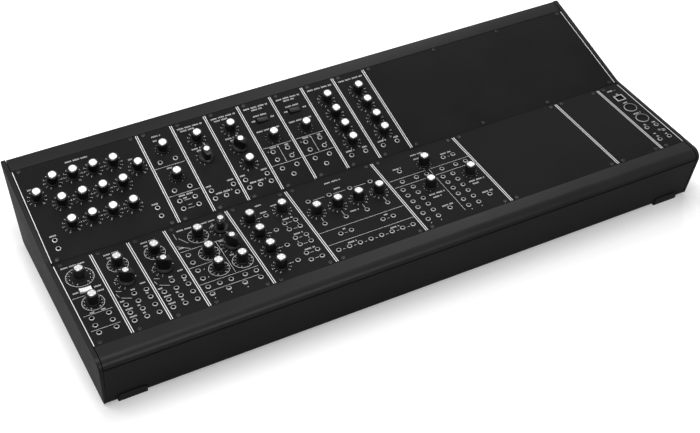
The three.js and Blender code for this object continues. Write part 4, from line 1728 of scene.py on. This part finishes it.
LOWER_MODULES = (
    Module(
        "oscillator_driver", 8, loose=True, knobs=((0.5, 0.781), (0.5, 0.46)), rockers=((0.472, 0.613),),
        jacks=grid(PAIR, (0.123, 0.21, 0.294)), rocker_slot=Slot.WHITE_ROCKER, knob_dial=Dial.SMOOTH,
        special_dials={0: Dial.DOUBLE},
        words=(
            (6.4, 32.5, 119.8), (5.9, 11.1, 79.2), (28.4, 37, 79.7), (28.8, 37.3, 72.3), (12.4, 16.8, 45.6),
            (24, 28, 45.6),
        ),
        lines=((2.7, 72.1, 15.7, 72.1), (4.8, 43.5, 35, 43.5), (4.9, 20.9, 35.1, 20.9)),
    ),
    oscillator("oscillator_a"),
    oscillator("oscillator_b"),
    Module(
        "large_oscillator", 14, screw_columns=2, loose=True,
        knobs=((0.415, 0.806), (0.415, 0.573), (0.415, 0.367), (0.786, 0.367)),
        selectors=((0.786, 0.806), (0.786, 0.573)), steps=(0, 4),
        jacks=grid((0.122,), (0.621, 0.522, 0.416, 0.314))
        + grid((0.122, 0.302, 0.478, 0.696, 0.872), (0.208,))
        + grid((0.122, 0.374, 0.626, 0.872), (0.121,)),
        knob_dial=Dial.RINGED, selector_dial=Dial.SELECT_NUMBERED,
        words=(
            (11.9, 55.1, 120), (47.1, 51, 111.4), (3.5, 9, 93.5), (45.2, 49.4, 85.2), (47.4, 51.9, 60.5),
            (7, 11, 14.6), (25, 29, 14.6), (43, 47, 14.6),
        ),
        lines=(
            (2.8, 87.4, 26.9, 87.4), (40.7, 87, 51.3, 87), (42.4, 86.6, 42.4, 35), (1.7, 60.5, 27.5, 60.5),
            (1.8, 33.1, 66.9, 33.1), (3.4, 20.5, 62.2, 20.5), (7, 118, 7, 108), (9.4, 109, 16, 98),
            (3, 98, 15, 89),
        ),
        dots=((15.3, 53.2), (15, 40.5), (27, 9.5), (44.9, 9), (9.2, 9.2)),
    ),
    Module(
        "mixer", 14, screw_columns=2, knobs=grid((0.236,), (0.78, 0.576, 0.371, 0.165)) + ((0.77, 0.78),),
        jacks=grid((0.5,), (0.781, 0.577, 0.369, 0.165))
        + grid((0.676, 0.856), (0.62, 0.533, 0.416, 0.328, 0.21, 0.123)),
        knob_dial=Dial.NUMBERED,
        words=(
            (31.3, 39.9, 119.8), (46.6, 53.3, 112.4), (31.8, 39.1, 106.8), (48.7, 59.7, 86),
            (49.2, 59.3, 59.4), (49, 59.8, 32.5),
        ),
        lines=(
            (23.9, 100, 30.5, 100), (25.5, 73.5, 30.1, 73.5), (25.1, 47.4, 30.8, 47.4), (24.8, 21, 30.5, 21),
            (52.5, 79.5, 55.9, 79.5), (53.2, 68, 57.3, 68), (52.2, 52.7, 56, 52.7), (52.4, 41.7, 56.9, 41.7),
            (52.3, 26.4, 56.1, 26.4), (52.8, 16.4, 57.3, 16.4), (61.2, 76, 61.2, 73), (48.3, 75, 48.3, 72.7),
            (61.3, 50, 61.3, 47), (48.1, 48.5, 48.1, 46),
        ),
    ),
    Module(
        "attenuators", 21, screw_columns=2, knobs=grid((0.142, 0.38, 0.618, 0.856), (0.622,)),
        jacks=grid((0.138, 0.377, 0.616, 0.853), (0.78, 0.464))
        + grid((0.211, 0.33, 0.687, 0.805), (0.293,))
        + grid((0.084, 0.203, 0.322, 0.441, 0.56, 0.679, 0.798, 0.917), (0.123,)),
        knob_dial=Dial.NUMBERED,
        words=(
            (44.1, 62.5, 119.7), (49.7, 57.8, 107.2), (48.2, 58.7, 65.2), (28, 31, 43.6), (77.7, 81.2, 43.6),
            (22.8, 33.4, 21.4), (73.6, 84, 21.4),
        ),
        lines=(
            (20.8, 100.4, 34.5, 100.4), (45.2, 100.4, 59.8, 100.4), (70.6, 100.4, 85.4, 100.4),
            (15.8, 94.7, 15.8, 92.8), (15.8, 70.6, 15.8, 63.3), (40.2, 70.6, 40.2, 63.3),
            (65.7, 70.6, 65.7, 63.3), (91.6, 70.6, 91.6, 63.3), (2.5, 48, 103.8, 48),
            (2.9, 26.6, 104.5, 26.6), (27.4, 37.2, 30.2, 37.2), (78.3, 37.2, 81.1, 37.2),
            (13.9, 15.2, 16.6, 15.2), (26.9, 15.2, 29.6, 15.2), (39.8, 15.2, 42.1, 15.2),
            (52, 15.2, 55, 15.2), (64.5, 15.2, 67.7, 15.2), (77.6, 15.2, 80.6, 15.2),
            (90.7, 15.2, 93.6, 15.2),
        ),
    ),
    Module(
        "switch_matrix", 21, screw_columns=2, loose=True,
        knobs=((0.497, 0.78), (0.375, 0.489), (0.852, 0.489)),
        jacks=grid((0.203, 0.733, 0.853), (0.782,))
        + grid((0.148, 0.316, 0.437, 0.624, 0.792, 0.912), (0.649,))
        + grid((0.091, 0.211, 0.567, 0.686), (0.549, 0.465, 0.379, 0.294, 0.209, 0.123))
        + grid((0.378, 0.853), (0.167,)),
        words=(
            (46.5, 60.3, 120), (46.6, 53.6, 112.5), (16.5, 27.1, 106.3), (78.4, 91.1, 106.9),
            (31, 49.3, 49.9), (33, 42.4, 44.5), (81.9, 100.5, 49.9), (83.9, 90.9, 45), (34.2, 46.8, 27.3),
            (85, 97.6, 27.3),
        ),
        lines=(
            (84.2, 100, 86.3, 100), (3.2, 89.8, 49.1, 89.8), (55.6, 89.8, 104.2, 89.8),
            (3.1, 77.3, 43.3, 77.3), (55.1, 77.3, 94.4, 77.3), (53.3, 89.4, 53.3, 79.8),
            (53.3, 72.5, 53.3, 10.9),
        ),
        dots=((22.5, 9.3), (73.4, 9), (10.1, 9.5), (60.9, 9.4)),
    ),
    Module("blank_wide", 28, screw_columns=2),
    Module("blank_narrow", 12, screw_columns=2),
    Module(
        "midi_interface", 6, ports=((0.51, 0.804),), dins=((0.497, 0.636), (0.497, 0.455)),
        jacks=grid((0.27, 0.705), (0.314, 0.123)),
        words=(
            (9.2, 16.2, 119.8), (12.8, 18.7, 92.7), (10.6, 21, 69.2), (20.1, 23.8, 46.5), (8.5, 10.3, 46.6),
            (20.4, 23.1, 21.7), (8.5, 10.7, 22.1), (16, 18.3, 111.2), (8.4, 10.6, 27.6),
        ),
        lines=((18.5, 119.6, 20.8, 119.6),), dots=((23.5, 29.0),),
        circles=((23.5, 29.0, 1.9), (19.0, 31.0, 1.3)),
    ),
)

UPPER_MODULES = (
    Module(
        "filter_bank", 28, screw_columns=2,
        knobs=grid((0.26, 0.42, 0.58, 0.74), (0.782, 0.546, 0.309)) + grid((0.1, 0.9), (0.663,)),
        jacks=grid((0.095, 0.898), LOW_ROWS), knob_dial=Dial.NUMBERED,
        words=(
            (57.3, 83.1, 119.8), (7.9, 12.4, 98.3), (122.2, 126.9, 99), (9.7, 16.8, 33), (123.1, 131.6, 32.7),
        ),
    ),
    Module(
        "dual_filter", 8, loose=True, knobs=((0.5, 0.779), (0.5, 0.458)),
        jacks=grid((0.268, 0.708), (0.646, 0.325, 0.208, 0.123)),
        words=(
            (15.1, 24.4, 119.7), (14.5, 18.9, 113.5), (14.7, 20.3, 72.6), (12.2, 27.9, 33), (15.9, 19.6, 29),
        ),
        lines=(
            (2.7, 76, 37.2, 76), (1.7, 35.8, 37.8, 35.8), (16.1, 26.2, 23.8, 26.2), (17.4, 19.1, 22.1, 19.1),
            (15.8, 15, 23.4, 15),
        ),
    ),
    pass_filter("high_pass_filter", 5, ((0.5, 0.778),)),
    pass_filter("low_pass_filter", 4, ((0.5, 0.778), (0.5, 0.365))),
    amplifier("amplifier_a"),
    amplifier("amplifier_b"),
    envelope("envelope_a"),
    envelope("envelope_b"),
    Module("blank_long", 56, screw_columns=4),
)


@dataclass
class Fittings:
    """The small parts and printed strokes that repeat, each modelled once."""

    nut_radius: float = 2.85
    bore_radius: float = 1.85
    lining: float = 0.2
    lining_bottom: float = -2.6
    bore_depth: float = 3.4
    nut_height: float = 0.9
    nut_round: float = 0.35
    nut_lip: float = 0.15
    screw_radius: float = 2.4
    screw_height: float = 0.75
    screw_draft: float = 0.2
    screw_round: float = 0.3
    recess_border: float = 0.85
    recess_depth: float = 0.45
    recess_taper: float = 0.9
    stroke_round: float = 0.18
    dot_ease: float = 0.03
    print_thickness: float = 0.08
    letter_border: float = 0.2
    patterns: dict[str, Shape] = field(default_factory=dict)

    def get(self, name: str, model: Callable[[], Part]) -> Shape:
        """A pattern, modelled the first time it is asked for."""
        if name not in self.patterns:
            self.patterns[name] = pattern(model())
        return self.patterns[name]

    def nut(self) -> Part:
        """The nut of a socket."""
        hole = self.bore_radius + self.lining
        return ring(self.nut_radius, hole, 16, SKIN_GAP, self.nut_height, self.nut_round)

    def bore(self) -> Part:
        """The moulded lining of a socket."""
        radius = self.bore_radius + self.lining
        lining = drum(radius, radius, 16, self.lining_bottom, self.nut_height - self.nut_lip)
        sink(lining, upward, self.lining, -self.bore_depth)
        return lining

    def screw(self) -> Part:
        """A screw's head with its recess."""
        top_radius = self.screw_radius - self.screw_draft
        head = drum(self.screw_radius, top_radius, 18, SKIN_GAP, self.screw_height)
        bevel(head, at_height(self.screw_height), self.screw_round, 2)
        sink(head, wide_top(2), self.recess_border, -self.recess_depth, self.recess_taper)
        return head

    def stroke(self) -> Part:
        """A printed stroke one millimetre long and wide, with rounded corners."""
        stroke = block(1, 1, -self.print_thickness, self.print_thickness)
        bevel(stroke, upright, self.stroke_round, 2)
        return stroke

    def letter(self) -> Part:
        """A printed outline one millimetre square that stands for a letter."""
        return pierced(block(1, 1, -self.print_thickness, self.print_thickness), self.letter_border)

    def dot(self) -> Part:
        """A printed dot one millimetre across."""
        dot = drum(0.5, 0.5, 12, -self.print_thickness, self.print_thickness)
        bevel(dot, at_height(self.print_thickness), self.dot_ease, 1)
        return dot

    def circle(self, radius: float, width: float) -> Part:
        """A printed circle."""
        thick = self.print_thickness
        return ring(radius + width / 2, radius - width / 2, 56, -thick, thick, 0.0)

    def number(self, value: int) -> Part:
        """A printed number, centred on the origin."""
        clear_selection()
        bpy.ops.object.text_add()
        text = bpy.context.object.data
        text.body = str(value)
        text.size = NUMBER_HEIGHT / FIGURE_SHARE
        text.resolution_u = 2
        text.align_x = "CENTER"
        text.align_y = "CENTER"
        text.extrude = self.print_thickness
        bpy.ops.object.convert(target="MESH")
        return settle(bpy.context.object)


class Print:
    """The screen print of a panel."""

    def __init__(self, fittings: Fittings) -> None:
        """Starts a bare print with the fittings that give its strokes."""
        self.fittings = fittings
        self.pile = Pile()

    def line(self, start: Point, stop: Point, width: float) -> None:
        """Prints a line of a width from one place to another."""
        first, second = Vector(start), Vector(stop)
        span = second - first
        copy = self.fittings.get("stroke", self.fittings.stroke).copy()
        stretch = max(span.length - width, 0.0) / 2
        for corner in copy.vertices:
            x, y, z = corner.co
            corner.co = (x * width + math.copysign(stretch, x), y * width, z)
        self.pile.add(copy, at((first + second) / 2, math.atan2(span.y, span.x)))
        bpy.data.meshes.remove(copy)

    def dot(self, spot: Point, size: float) -> None:
        """Prints a dot."""
        shape = self.fittings.get("dot", self.fittings.dot)
        self.pile.add(shape, at(spot) @ Matrix.Diagonal((size, size, 1, 1)))

    def words(self, left: float, right: float, height: float) -> None:
        """Prints a caption as a row of small outlines in place of lettering, between two ends at a height."""
        letter, gap = LETTER_SHARE * CAPTION_HEIGHT, GAP_SHARE * CAPTION_HEIGHT
        shape = self.fittings.get("letter", self.fittings.letter)
        count = max(round((right - left + gap) / (letter + gap)), 1)
        for number in range(count):
            if number % WORD_PITCH != WORD_PITCH - 1:
                middle = left + letter / 2 + number * (letter + gap)
                size = Matrix.Diagonal((letter, CAPTION_HEIGHT, 1, 1))
                self.pile.add(shape, at((middle, height)) @ size)

    def circle(self, spot: Point, radius: float) -> None:
        """Prints a ring."""
        shape = self.fittings.get(f"ring_{radius}", lambda: self.fittings.circle(radius, CIRCLE_WIDTH))
        self.pile.add(shape, at(spot))

    def number(self, value: int, spot: Point) -> None:
        """Prints a number."""
        shape = self.fittings.get(f"number_{value}", lambda: self.fittings.number(value))
        self.pile.add(shape, at(spot))

    def dial(self, spot: Point, dial: Dial) -> None:
        """Prints a scale round a control."""
        form = dial.value
        centre = Vector(spot)
        for radius in form.rings:
            self.circle(spot, radius)
        step = max((form.ticks - 1) // max(len(form.numbers) - 1, 1), 1)
        for index, angle in enumerate(form.angles()):
            aim = Vector((math.cos(angle), math.sin(angle)))
            start, stop = form.tick_start, form.tick_start + form.tick_length
            self.line(centre + aim * start, centre + aim * stop, TICK_WIDTH)
            if form.numbers and index % step == 0:
                self.number(form.numbers[index // step], centre + aim * form.number_radius)


@dataclass
class ModuleMaker:
    """Builds the modules of a row."""

    shop: Workshop
    fittings: Fittings
    row: Place
    plate_thickness: float = 2.0
    plate_round: float = 0.3
    shaft_hole: float = 3.5
    hole_margin: float = 0.4
    screw_end_inset: float = 3.2
    screw_side_inset: float = 7.5
    board_standoff: float = 12.0
    board_thickness: float = 1.6
    board_side_margin: float = 3.0
    board_end_margin: float = 14.0
    board_round: float = 1.5
    post_width: float = 5.0
    post_root: float = 0.2
    post_round: float = 0.8
    edge_line_width: float = 0.8
    edge_line_inset: float = 0.45
    edge_line_end: float = 1.15
    din_radius: float = 7.9
    din_wall: float = 0.7
    din_rise: float = 0.7
    din_round: float = 0.3
    insert_gap: float = 0.05
    insert_rise: float = 0.15
    insert_depth: float = 9.0
    insert_border: float = 1.2
    din_hollow: float = 0.35
    pin_circle: float = 3.6
    pin_radius: float = 0.7
    pin_depth: float = 4.0
    key_size: Point = (2.2, 2.0)
    key_place: float = 6.0
    port_size: Point = (12.0, 11.0)
    port_lap: float = 0.6
    port_border: float = 1.4
    port_rise: float = 0.62
    port_round: float = 0.15
    port_depth: float = 7.05
    port_rim: float = 0.25
    port_wall: float = 1.3
    port_hollow: float = 2.8
    tongue_size: Triplet = (5.4, 4.2, 2.4)
    tongue_drop: float = 0.7
    tongue_round: float = 0.5

    def plate(self, module: Module) -> Part:
        """The panel's plate, with the holes of its controls and sockets."""
        middle = (module.width() / 2, FORM.panel_height / 2)
        plate = block(module.width() - FORM.panel_gap, FORM.panel_height, -self.plate_thickness, 0.0, middle)
        bevel(plate, at_height(0.0), self.plate_round, 2)
        holes = (
            (module.jacks, self.fittings.bore_radius + self.hole_margin),
            (module.knobs + module.selectors if module.loose else (), self.shaft_hole),
            (module.dins, self.din_radius - self.hole_margin),
        )
        tools = [
            drum(radius, radius, 16, -self.plate_thickness - OVERRUN, OVERRUN, spot)
            for shares, radius in holes
            for spot in module.spots(shares)
        ]
        tools += [ROCKER.opening(spot) for spot in module.spots(module.rockers)]
        across, up = (side - self.port_lap for side in self.port_size)
        reach = self.plate_thickness + OVERRUN
        tools += [block(across, up, -reach, reach, spot) for spot in module.spots(module.ports)]
        return carved(plate, joined(tools)) if tools else plate

    def circuit_board(self, module: Module) -> Part:
        """The board behind the panel on its two posts."""
        top = -self.plate_thickness - self.board_standoff
        middle = module.width() / 2
        size = (module.width() - 2 * self.board_side_margin, FORM.panel_height - 2 * self.board_end_margin)
        sheet = block(*size, top - self.board_thickness, top, (middle, FORM.panel_height / 2))
        bevel(sheet, upright, self.board_round, 3)
        inset = self.board_end_margin + self.post_width
        head = -self.plate_thickness - SKIN_GAP
        posts = []
        for y in (inset, FORM.panel_height - inset):
            post = block(self.post_width, self.post_width, top - self.post_root, head, (middle, y))
            bevel(post, upright, self.post_round, 2)
            posts.append(post)
        return joined([sheet, *posts])

    def screen_print(self, module: Module) -> Part:
        """Everything printed on the panel."""
        sheet = Print(self.fittings)
        inset = FORM.panel_gap / 2 + self.edge_line_width / 2 + self.edge_line_inset
        low, high = self.edge_line_end, FORM.panel_height - self.edge_line_end
        for x in (inset, module.width() - inset):
            sheet.line((x, low), (x, high), self.edge_line_width)
        for index, spot in enumerate(module.spots(module.knobs)):
            sheet.dial(spot, module.special_dials.get(index, module.knob_dial))
        for spot in module.spots(module.selectors):
            sheet.dial(spot, module.selector_dial)
        for left, right, height in module.words:
            sheet.words(left, right, height)
        for x0, y0, x1, y1 in module.lines:
            sheet.line((x0, y0), (x1, y1), LINE_WIDTH)
        for spot in module.dots:
            sheet.dot(spot, 1.0)
        for x, y, radius in module.circles:
            sheet.circle((x, y), radius)
        return sheet.pile.part("print")

    def screws(self, module: Module) -> list[Point]:
        """Places of the panel's screws."""
        columns = module.screw_columns
        pitch = (module.width() - 2 * self.screw_side_inset) / (columns - 1) if columns > 1 else 0.0
        rows = (self.screw_end_inset, FORM.panel_height - self.screw_end_inset)
        return [(self.screw_side_inset + column * pitch, y) for column in range(columns) for y in rows]

    def scatter(
        self, kind: str, model: Callable[[], Part], spots: Sequence[Point], turn: float = 0.0
    ) -> Part:
        """Copies of a pattern at places on the panel.

        Args:
            kind: Name of the pattern.
            model: Models the pattern if it is new.
            spots: Places on the panel.
            turn: Turn of each copy in radians.

        Returns:
            The copies as one piece.
        """
        return copies(self.fittings.get(kind, model), [at(spot, turn) for spot in spots])

    def build(self, module: Module, left: float) -> None:
        """Builds and dresses a module.

        Args:
            module: The module.
            left: Its left edge along the row.
        """
        place = self.row @ Matrix.Translation((left, 0, 0))
        name, fittings = module.name, self.fittings
        plate = self.plate(module)
        self.shop.finish(plate, f"{name}_plate", Slot.PANEL, place=place, replaces=[f"{name}_panel"])
        pieces = [
            ("print", Slot.PRINT, self.screen_print(module)),
            ("screws", Slot.SCREW, self.scatter("screw", fittings.screw, self.screws(module))),
        ]
        if module.jacks:
            spots = module.spots(module.jacks)
            pieces += [
                ("socket_nuts", Slot.SOCKET, self.scatter("nut", fittings.nut, spots)),
                ("socket_bores", Slot.BORE, self.scatter("bore", fittings.bore, spots)),
                ("board", Slot.BOARD, self.circuit_board(module)),
            ]
        if module.knobs and not module.loose:
            spots = module.spots(module.knobs)
            pieces += [
                ("knob_bodies", Slot.KNOB, self.scatter("fixed_body", KNOB.fixed_body, spots, KNOB_REST)),
                ("knob_caps", Slot.CAP, self.scatter("fixed_cap", KNOB.cap, spots, KNOB_REST)),
                ("knob_marks", Slot.PRINT, self.scatter("fixed_mark", KNOB.mark, spots, KNOB_REST)),
            ]
        for piece, slot, part in pieces:
            self.shop.finish(part, f"{name}_{piece}", slot, place=place)
        self.sockets(module, place)
        if module.loose:
            self.controls(module, place)

    def controls(self, module: Module, place: Place) -> None:
        """The controls that turn or rock on their own."""
        fittings = self.fittings
        steps = [SELECTOR_START + SELECTOR_STEP * step for step in module.steps]
        kinds = (
            ("knob", module.knobs, [KNOB_REST] * len(module.knobs), KNOB),
            ("selector", module.selectors, steps, SELECTOR),
        )
        for kind, shares, rests, control in kinds:
            for node, spot, rest in zip(module.control_names(kind, shares), module.spots(shares), rests):
                for piece, slot in (("body", Slot.KNOB), ("cap", Slot.CAP), ("mark", Slot.PRINT)):
                    shape = fittings.get(f"{kind}_{piece}", getattr(control, piece))
                    part = copies(shape, [place @ at(spot, rest)])
                    stands_for = [node] if piece == "body" else []
                    self.shop.finish(part, f"{node}_{piece}", slot, body=node, replaces=stands_for)
        for node, spot in zip(module.control_names("rocker", module.rockers), module.spots(module.rockers)):
            well = self.scatter("rocker_well", ROCKER.well, [spot])
            self.shop.finish(well, f"{node}_well", Slot.BORE, place=place)
            lever = copies(fittings.get("rocker", ROCKER.lever), [place @ at(spot, ROCKER_REST, "Y")])
            self.shop.finish(lever, f"{node}_lever", module.rocker_slot, body=node, replaces=[node])

    def sockets(self, module: Module, place: Place) -> None:
        """The larger sockets of the interface module."""
        pieces = []
        for number, spot in enumerate(module.spots(module.dins), 1):
            hole = self.din_radius - self.din_wall
            shell = ring(self.din_radius, hole, 40, SKIN_GAP, self.din_rise, self.din_round)
            pieces.append((f"din_{number}_ring", Slot.SOCKET, spot, shell))
            pieces.append((f"din_{number}_insert", Slot.PANEL, spot, self.din_insert()))
        for spot in module.spots(module.ports):
            shell = pierced(block(*self.port_size, SKIN_GAP, self.port_rise), self.port_border)
            bevel(shell, at_height(self.port_rise), self.port_round, 2)
            pieces.append(("port_frame", Slot.SOCKET, spot, shell))
            pieces.append(("port_insert", Slot.PANEL, spot, self.port_insert()))
        for piece, slot, spot, part in pieces:
            self.shop.finish(part, f"{module.name}_{piece}", slot, place=place @ at(spot))

    def din_insert(self) -> Part:
        """The round insert with five pin holes and a key."""
        radius = self.din_radius - self.din_wall - self.insert_gap
        insert = drum(radius, radius, 40, -self.insert_depth, self.insert_rise)
        sink(insert, upward, self.insert_border, -self.din_hollow)
        tools = []
        for degrees in range(0, 181, 45):
            angle = math.radians(degrees)
            spot = (self.pin_circle * math.cos(angle), self.pin_circle * math.sin(angle))
            tools.append(drum(self.pin_radius, self.pin_radius, 12, -self.pin_depth, OVERRUN, spot))
        reach = self.pin_depth / 2
        tools.append(block(*self.key_size, -reach, reach, (0, -self.key_place)))
        return carved(insert, joined(tools))

    def port_insert(self) -> Part:
        """The lining of the square port with its tongue."""
        width, height = (side - self.port_border for side in self.port_size)
        lining = block(width, height, -self.port_depth, self.port_rim)
        sink(lining, upward, self.port_wall, -self.port_hollow)
        across, up, thickness = self.tongue_size
        tongue = block(across, up, -self.tongue_drop - thickness, -self.tongue_drop)
        bevel(tongue, at_height(-self.tongue_drop), self.tongue_round, 2)
        return joined([lining, tongue])


@dataclass
class PowerSwitch:
    """The rocker of the power switch on the rear wall with its frame.

    Attributes:
        place: How far it is left of the middle, seen from the front.
        frame_wall: Width of the frame.
        frame_rise: How far the frame stands out.
        frame_round: Rounding of the frame.
    """

    place: float = 250.0
    frame_wall: float = 1.5
    frame_rise: float = 0.8
    frame_round: float = 0.25

    def build(self, shop: Workshop) -> None:
        """Builds and dresses the switch."""
        spot = FORM.rear_place(self.place)
        place = spot @ Matrix.Rotation(ROCKER_REST, 4, "Y")
        lever = POWER_ROCKER.lever()
        shop.finish(lever, "power_switch_lever", Slot.KNOB, "power_switch", place, ["power_switch"])
        top = SKIN_GAP + self.frame_rise
        frame = pierced(block(*POWER_ROCKER.housing(self.frame_wall), SKIN_GAP, top), self.frame_wall)
        bevel(frame, at_height(top), self.frame_round, 2)
        shop.finish(frame, "power_switch_frame", Slot.BORE, place=spot)


# Studio


@dataclass(frozen=True)
class Lamp:
    """A soft rectangular lamp.

    Attributes:
        name: Name of the lamp.
        place: Its place in metres.
        aim: The point it looks at.
        size: Its width and length in metres.
        power: Its power in watts.
    """

    name: str
    place: Triplet
    aim: Triplet
    size: Point
    power: float

    def build(self) -> None:
        """Adds the lamp to the scene."""
        data = bpy.data.lights.new(self.name, "AREA")
        data.shape = "RECTANGLE"
        data.size, data.size_y = self.size
        data.energy = self.power
        lamp = bpy.data.objects.new(self.name, data)
        turn = (Vector(self.aim) - Vector(self.place)).to_track_quat("-Z", "Y").to_matrix().to_4x4()
        lamp.matrix_world = Matrix.Translation(self.place) @ turn
        bpy.context.scene.collection.objects.link(lamp)


# Key overhead, side on the left, a long strip that the panels mirror and a low lamp that the nose mirrors
LAMPS = (
    Lamp("key", (-0.5, -0.05, 1.6), (-0.05, 0.0, 0.05), (1.0, 1.0), 18.0),
    Lamp("side", (-1.5, 0.9, 1.3), (0.0, 0.0, 0.05), (1.1, 1.1), 4.0),
    Lamp("strip", (0.78, 1.02, 1.65), (0.0, 0.0, 0.07), (0.35, 1.4), 6.0),
    Lamp("front", (0.12, -1.6, 0.62), (0.0, 0.0, 0.05), (1.0, 0.28), 9.0),
)


@dataclass
class Studio:
    """Camera, lamps and floor.

    Attributes:
        camera_place: Place of the camera in millimetres.
        azimuth: Direction of view in degrees from Y towards X.
        elevation: Height of the camera over the horizon in degrees.
        roll: Roll of the camera in degrees.
        lens: Focal length in millimetres.
        sensor: Width of the camera's sensor in millimetres.
        world_strength: Strength of the surround's light.
        floor_size: Width of the floor in metres.
        floor_tones: Tones of the floor to other rays and to the camera.
        floor_glow_and_painted_shadow: The floor's own light to the camera, low beside the object as a painted
            shadow and full past the margin.
        painted_shadow_margin: Width of the painted shadow margin before the object in metres.
        side_fade: How many times narrower the painted shadow margin is beside the object.
        floor_grain: Size of the floor's smoother patches in millimetres.
        floor_sheen: Roughness of the floor at its least and most.
        sight: Nearest and farthest distance that the camera sees in metres.
    """

    camera_place: Triplet = (-546.42, -1018.58, 994.47)
    azimuth: float = 27.675
    elevation: float = 40.767
    roll: float = 0.304
    lens: float = 68.016
    sensor: float = 36.0
    world_strength: float = 0.16
    floor_size: float = 14.0
    floor_tones: Point = (0.35, 0.78)
    floor_glow_and_painted_shadow: Point = (0.28, 0.9)
    painted_shadow_margin: float = 0.18
    side_fade: float = 4.0
    floor_grain: float = 400.0
    floor_sheen: Point = (0.12, 0.16)
    sight: Point = (0.05, 50.0)

    def camera(self) -> None:
        """Sets up the camera at the photograph's angle."""
        angles = (self.azimuth, self.elevation, self.roll)
        azimuth, elevation, roll = (math.radians(angle) for angle in angles)
        reach = math.cos(elevation)
        forward = Vector((math.sin(azimuth) * reach, math.cos(azimuth) * reach, -math.sin(elevation)))
        level = forward.cross(Vector((0, 0, 1))).normalized()
        over = level.cross(forward)
        right = level * math.cos(roll) + over * math.sin(roll)
        up = over * math.cos(roll) - level * math.sin(roll)
        turn = Matrix((right, up, -forward)).transposed().to_4x4()
        data = bpy.data.cameras.new("camera")
        data.sensor_width = self.sensor
        data.sensor_fit = "HORIZONTAL"
        data.lens = self.lens
        data.clip_start, data.clip_end = self.sight
        camera = bpy.data.objects.new("camera", data)
        camera.matrix_world = Matrix.Translation(Vector(self.camera_place) * MM) @ turn
        bpy.context.scene.collection.objects.link(camera)
        bpy.context.scene.camera = camera

    def world(self) -> None:
        """A plain surround: white where it is seen or mirrored, and dimmer as a light."""
        world = bpy.data.worlds.new("surround")
        board = NodeBoard(world, "ShaderNodeBackground", "ShaderNodeOutputWorld")
        board.set("Color", (1.0, 1.0, 1.0, 1.0))
        paths = board.add("ShaderNodeLightPath").outputs
        mirrored = board.math("MAXIMUM", paths["Is Glossy Ray"], paths["Is Transmission Ray"])
        seen = board.math("MAXIMUM", paths["Is Camera Ray"], mirrored)
        board.set("Strength", board.spread(seen, self.world_strength, 1.0, 0.0, 1.0))
        bpy.context.scene.world = world

    def floor(self, corner: Vector) -> None:
        """A white floor that keeps the object's cast shadow and a faint reflection, with a painted shadow
        round the object.

        Args:
            corner: Highest corner of the object, whose box is centred on the origin.
        """
        board = NodeBoard.material("studio_floor")
        seen = board.add("ShaderNodeLightPath").outputs["Is Camera Ray"]
        board.set("Base Color", board.blend(seen, *((tone, tone, tone) for tone in self.floor_tones)))
        patches = board.noise(board.place(), self.floor_grain)
        board.set("Roughness", board.spread(patches, *self.floor_sheen))
        board.set("Specular IOR Level", 0.5)
        board.set("Emission Color", (1.0, 1.0, 1.0, 1.0))
        # Painted shadow: the floor's glow is dimmest at the object's footprint and rises across the margin.
        folded = board.vector("ABSOLUTE", board.place((self.side_fade, 1.0, 1.0)))
        beyond = board.vector("SUBTRACT", folded, (self.side_fade * corner.x, corner.y, 0.0))
        away = board.vector("LENGTH", board.vector("MAXIMUM", beyond))
        shadowed_glow = board.spread(away, *self.floor_glow_and_painted_shadow, 0.0, self.painted_shadow_margin)
        board.set("Emission Strength", board.math("MULTIPLY", shadowed_glow, seen))
        clear_selection()
        bpy.ops.mesh.primitive_plane_add(size=self.floor_size, location=(0, 0, 0))
        floor = bpy.context.object
        floor.name = "studio_floor"
        floor.data.materials.append(board.owner)
        floor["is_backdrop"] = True

    def build(self, corner: Vector) -> None:
        """Builds the studio round an object whose highest corner is given."""
        bpy.context.scene.view_settings.view_transform = "Standard"
        self.camera()
        self.world()
        for lamp in LAMPS:
            lamp.build()
        self.floor(corner)


# Assembly


def main() -> None:
    """Builds the synthesizer round the frame."""
    logging.basicConfig(level=logging.INFO, format="%(name)s %(message)s")
    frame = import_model()
    cad_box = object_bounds()
    Studio().build(cad_box[1])
    shop = Workshop()
    Case().build(shop, frame["nodes"])
    PowerSwitch().build(shop)
    fittings = Fittings()
    for row, modules in ((FORM.lower(), LOWER_MODULES), (FORM.upper(), UPPER_MODULES)):
        maker = ModuleMaker(shop, fittings, FORM.row_place(row))
        left = 0.0
        for module in modules:
            maker.build(module, left)
            left += module.width()


if __name__ == "__main__":
    main()
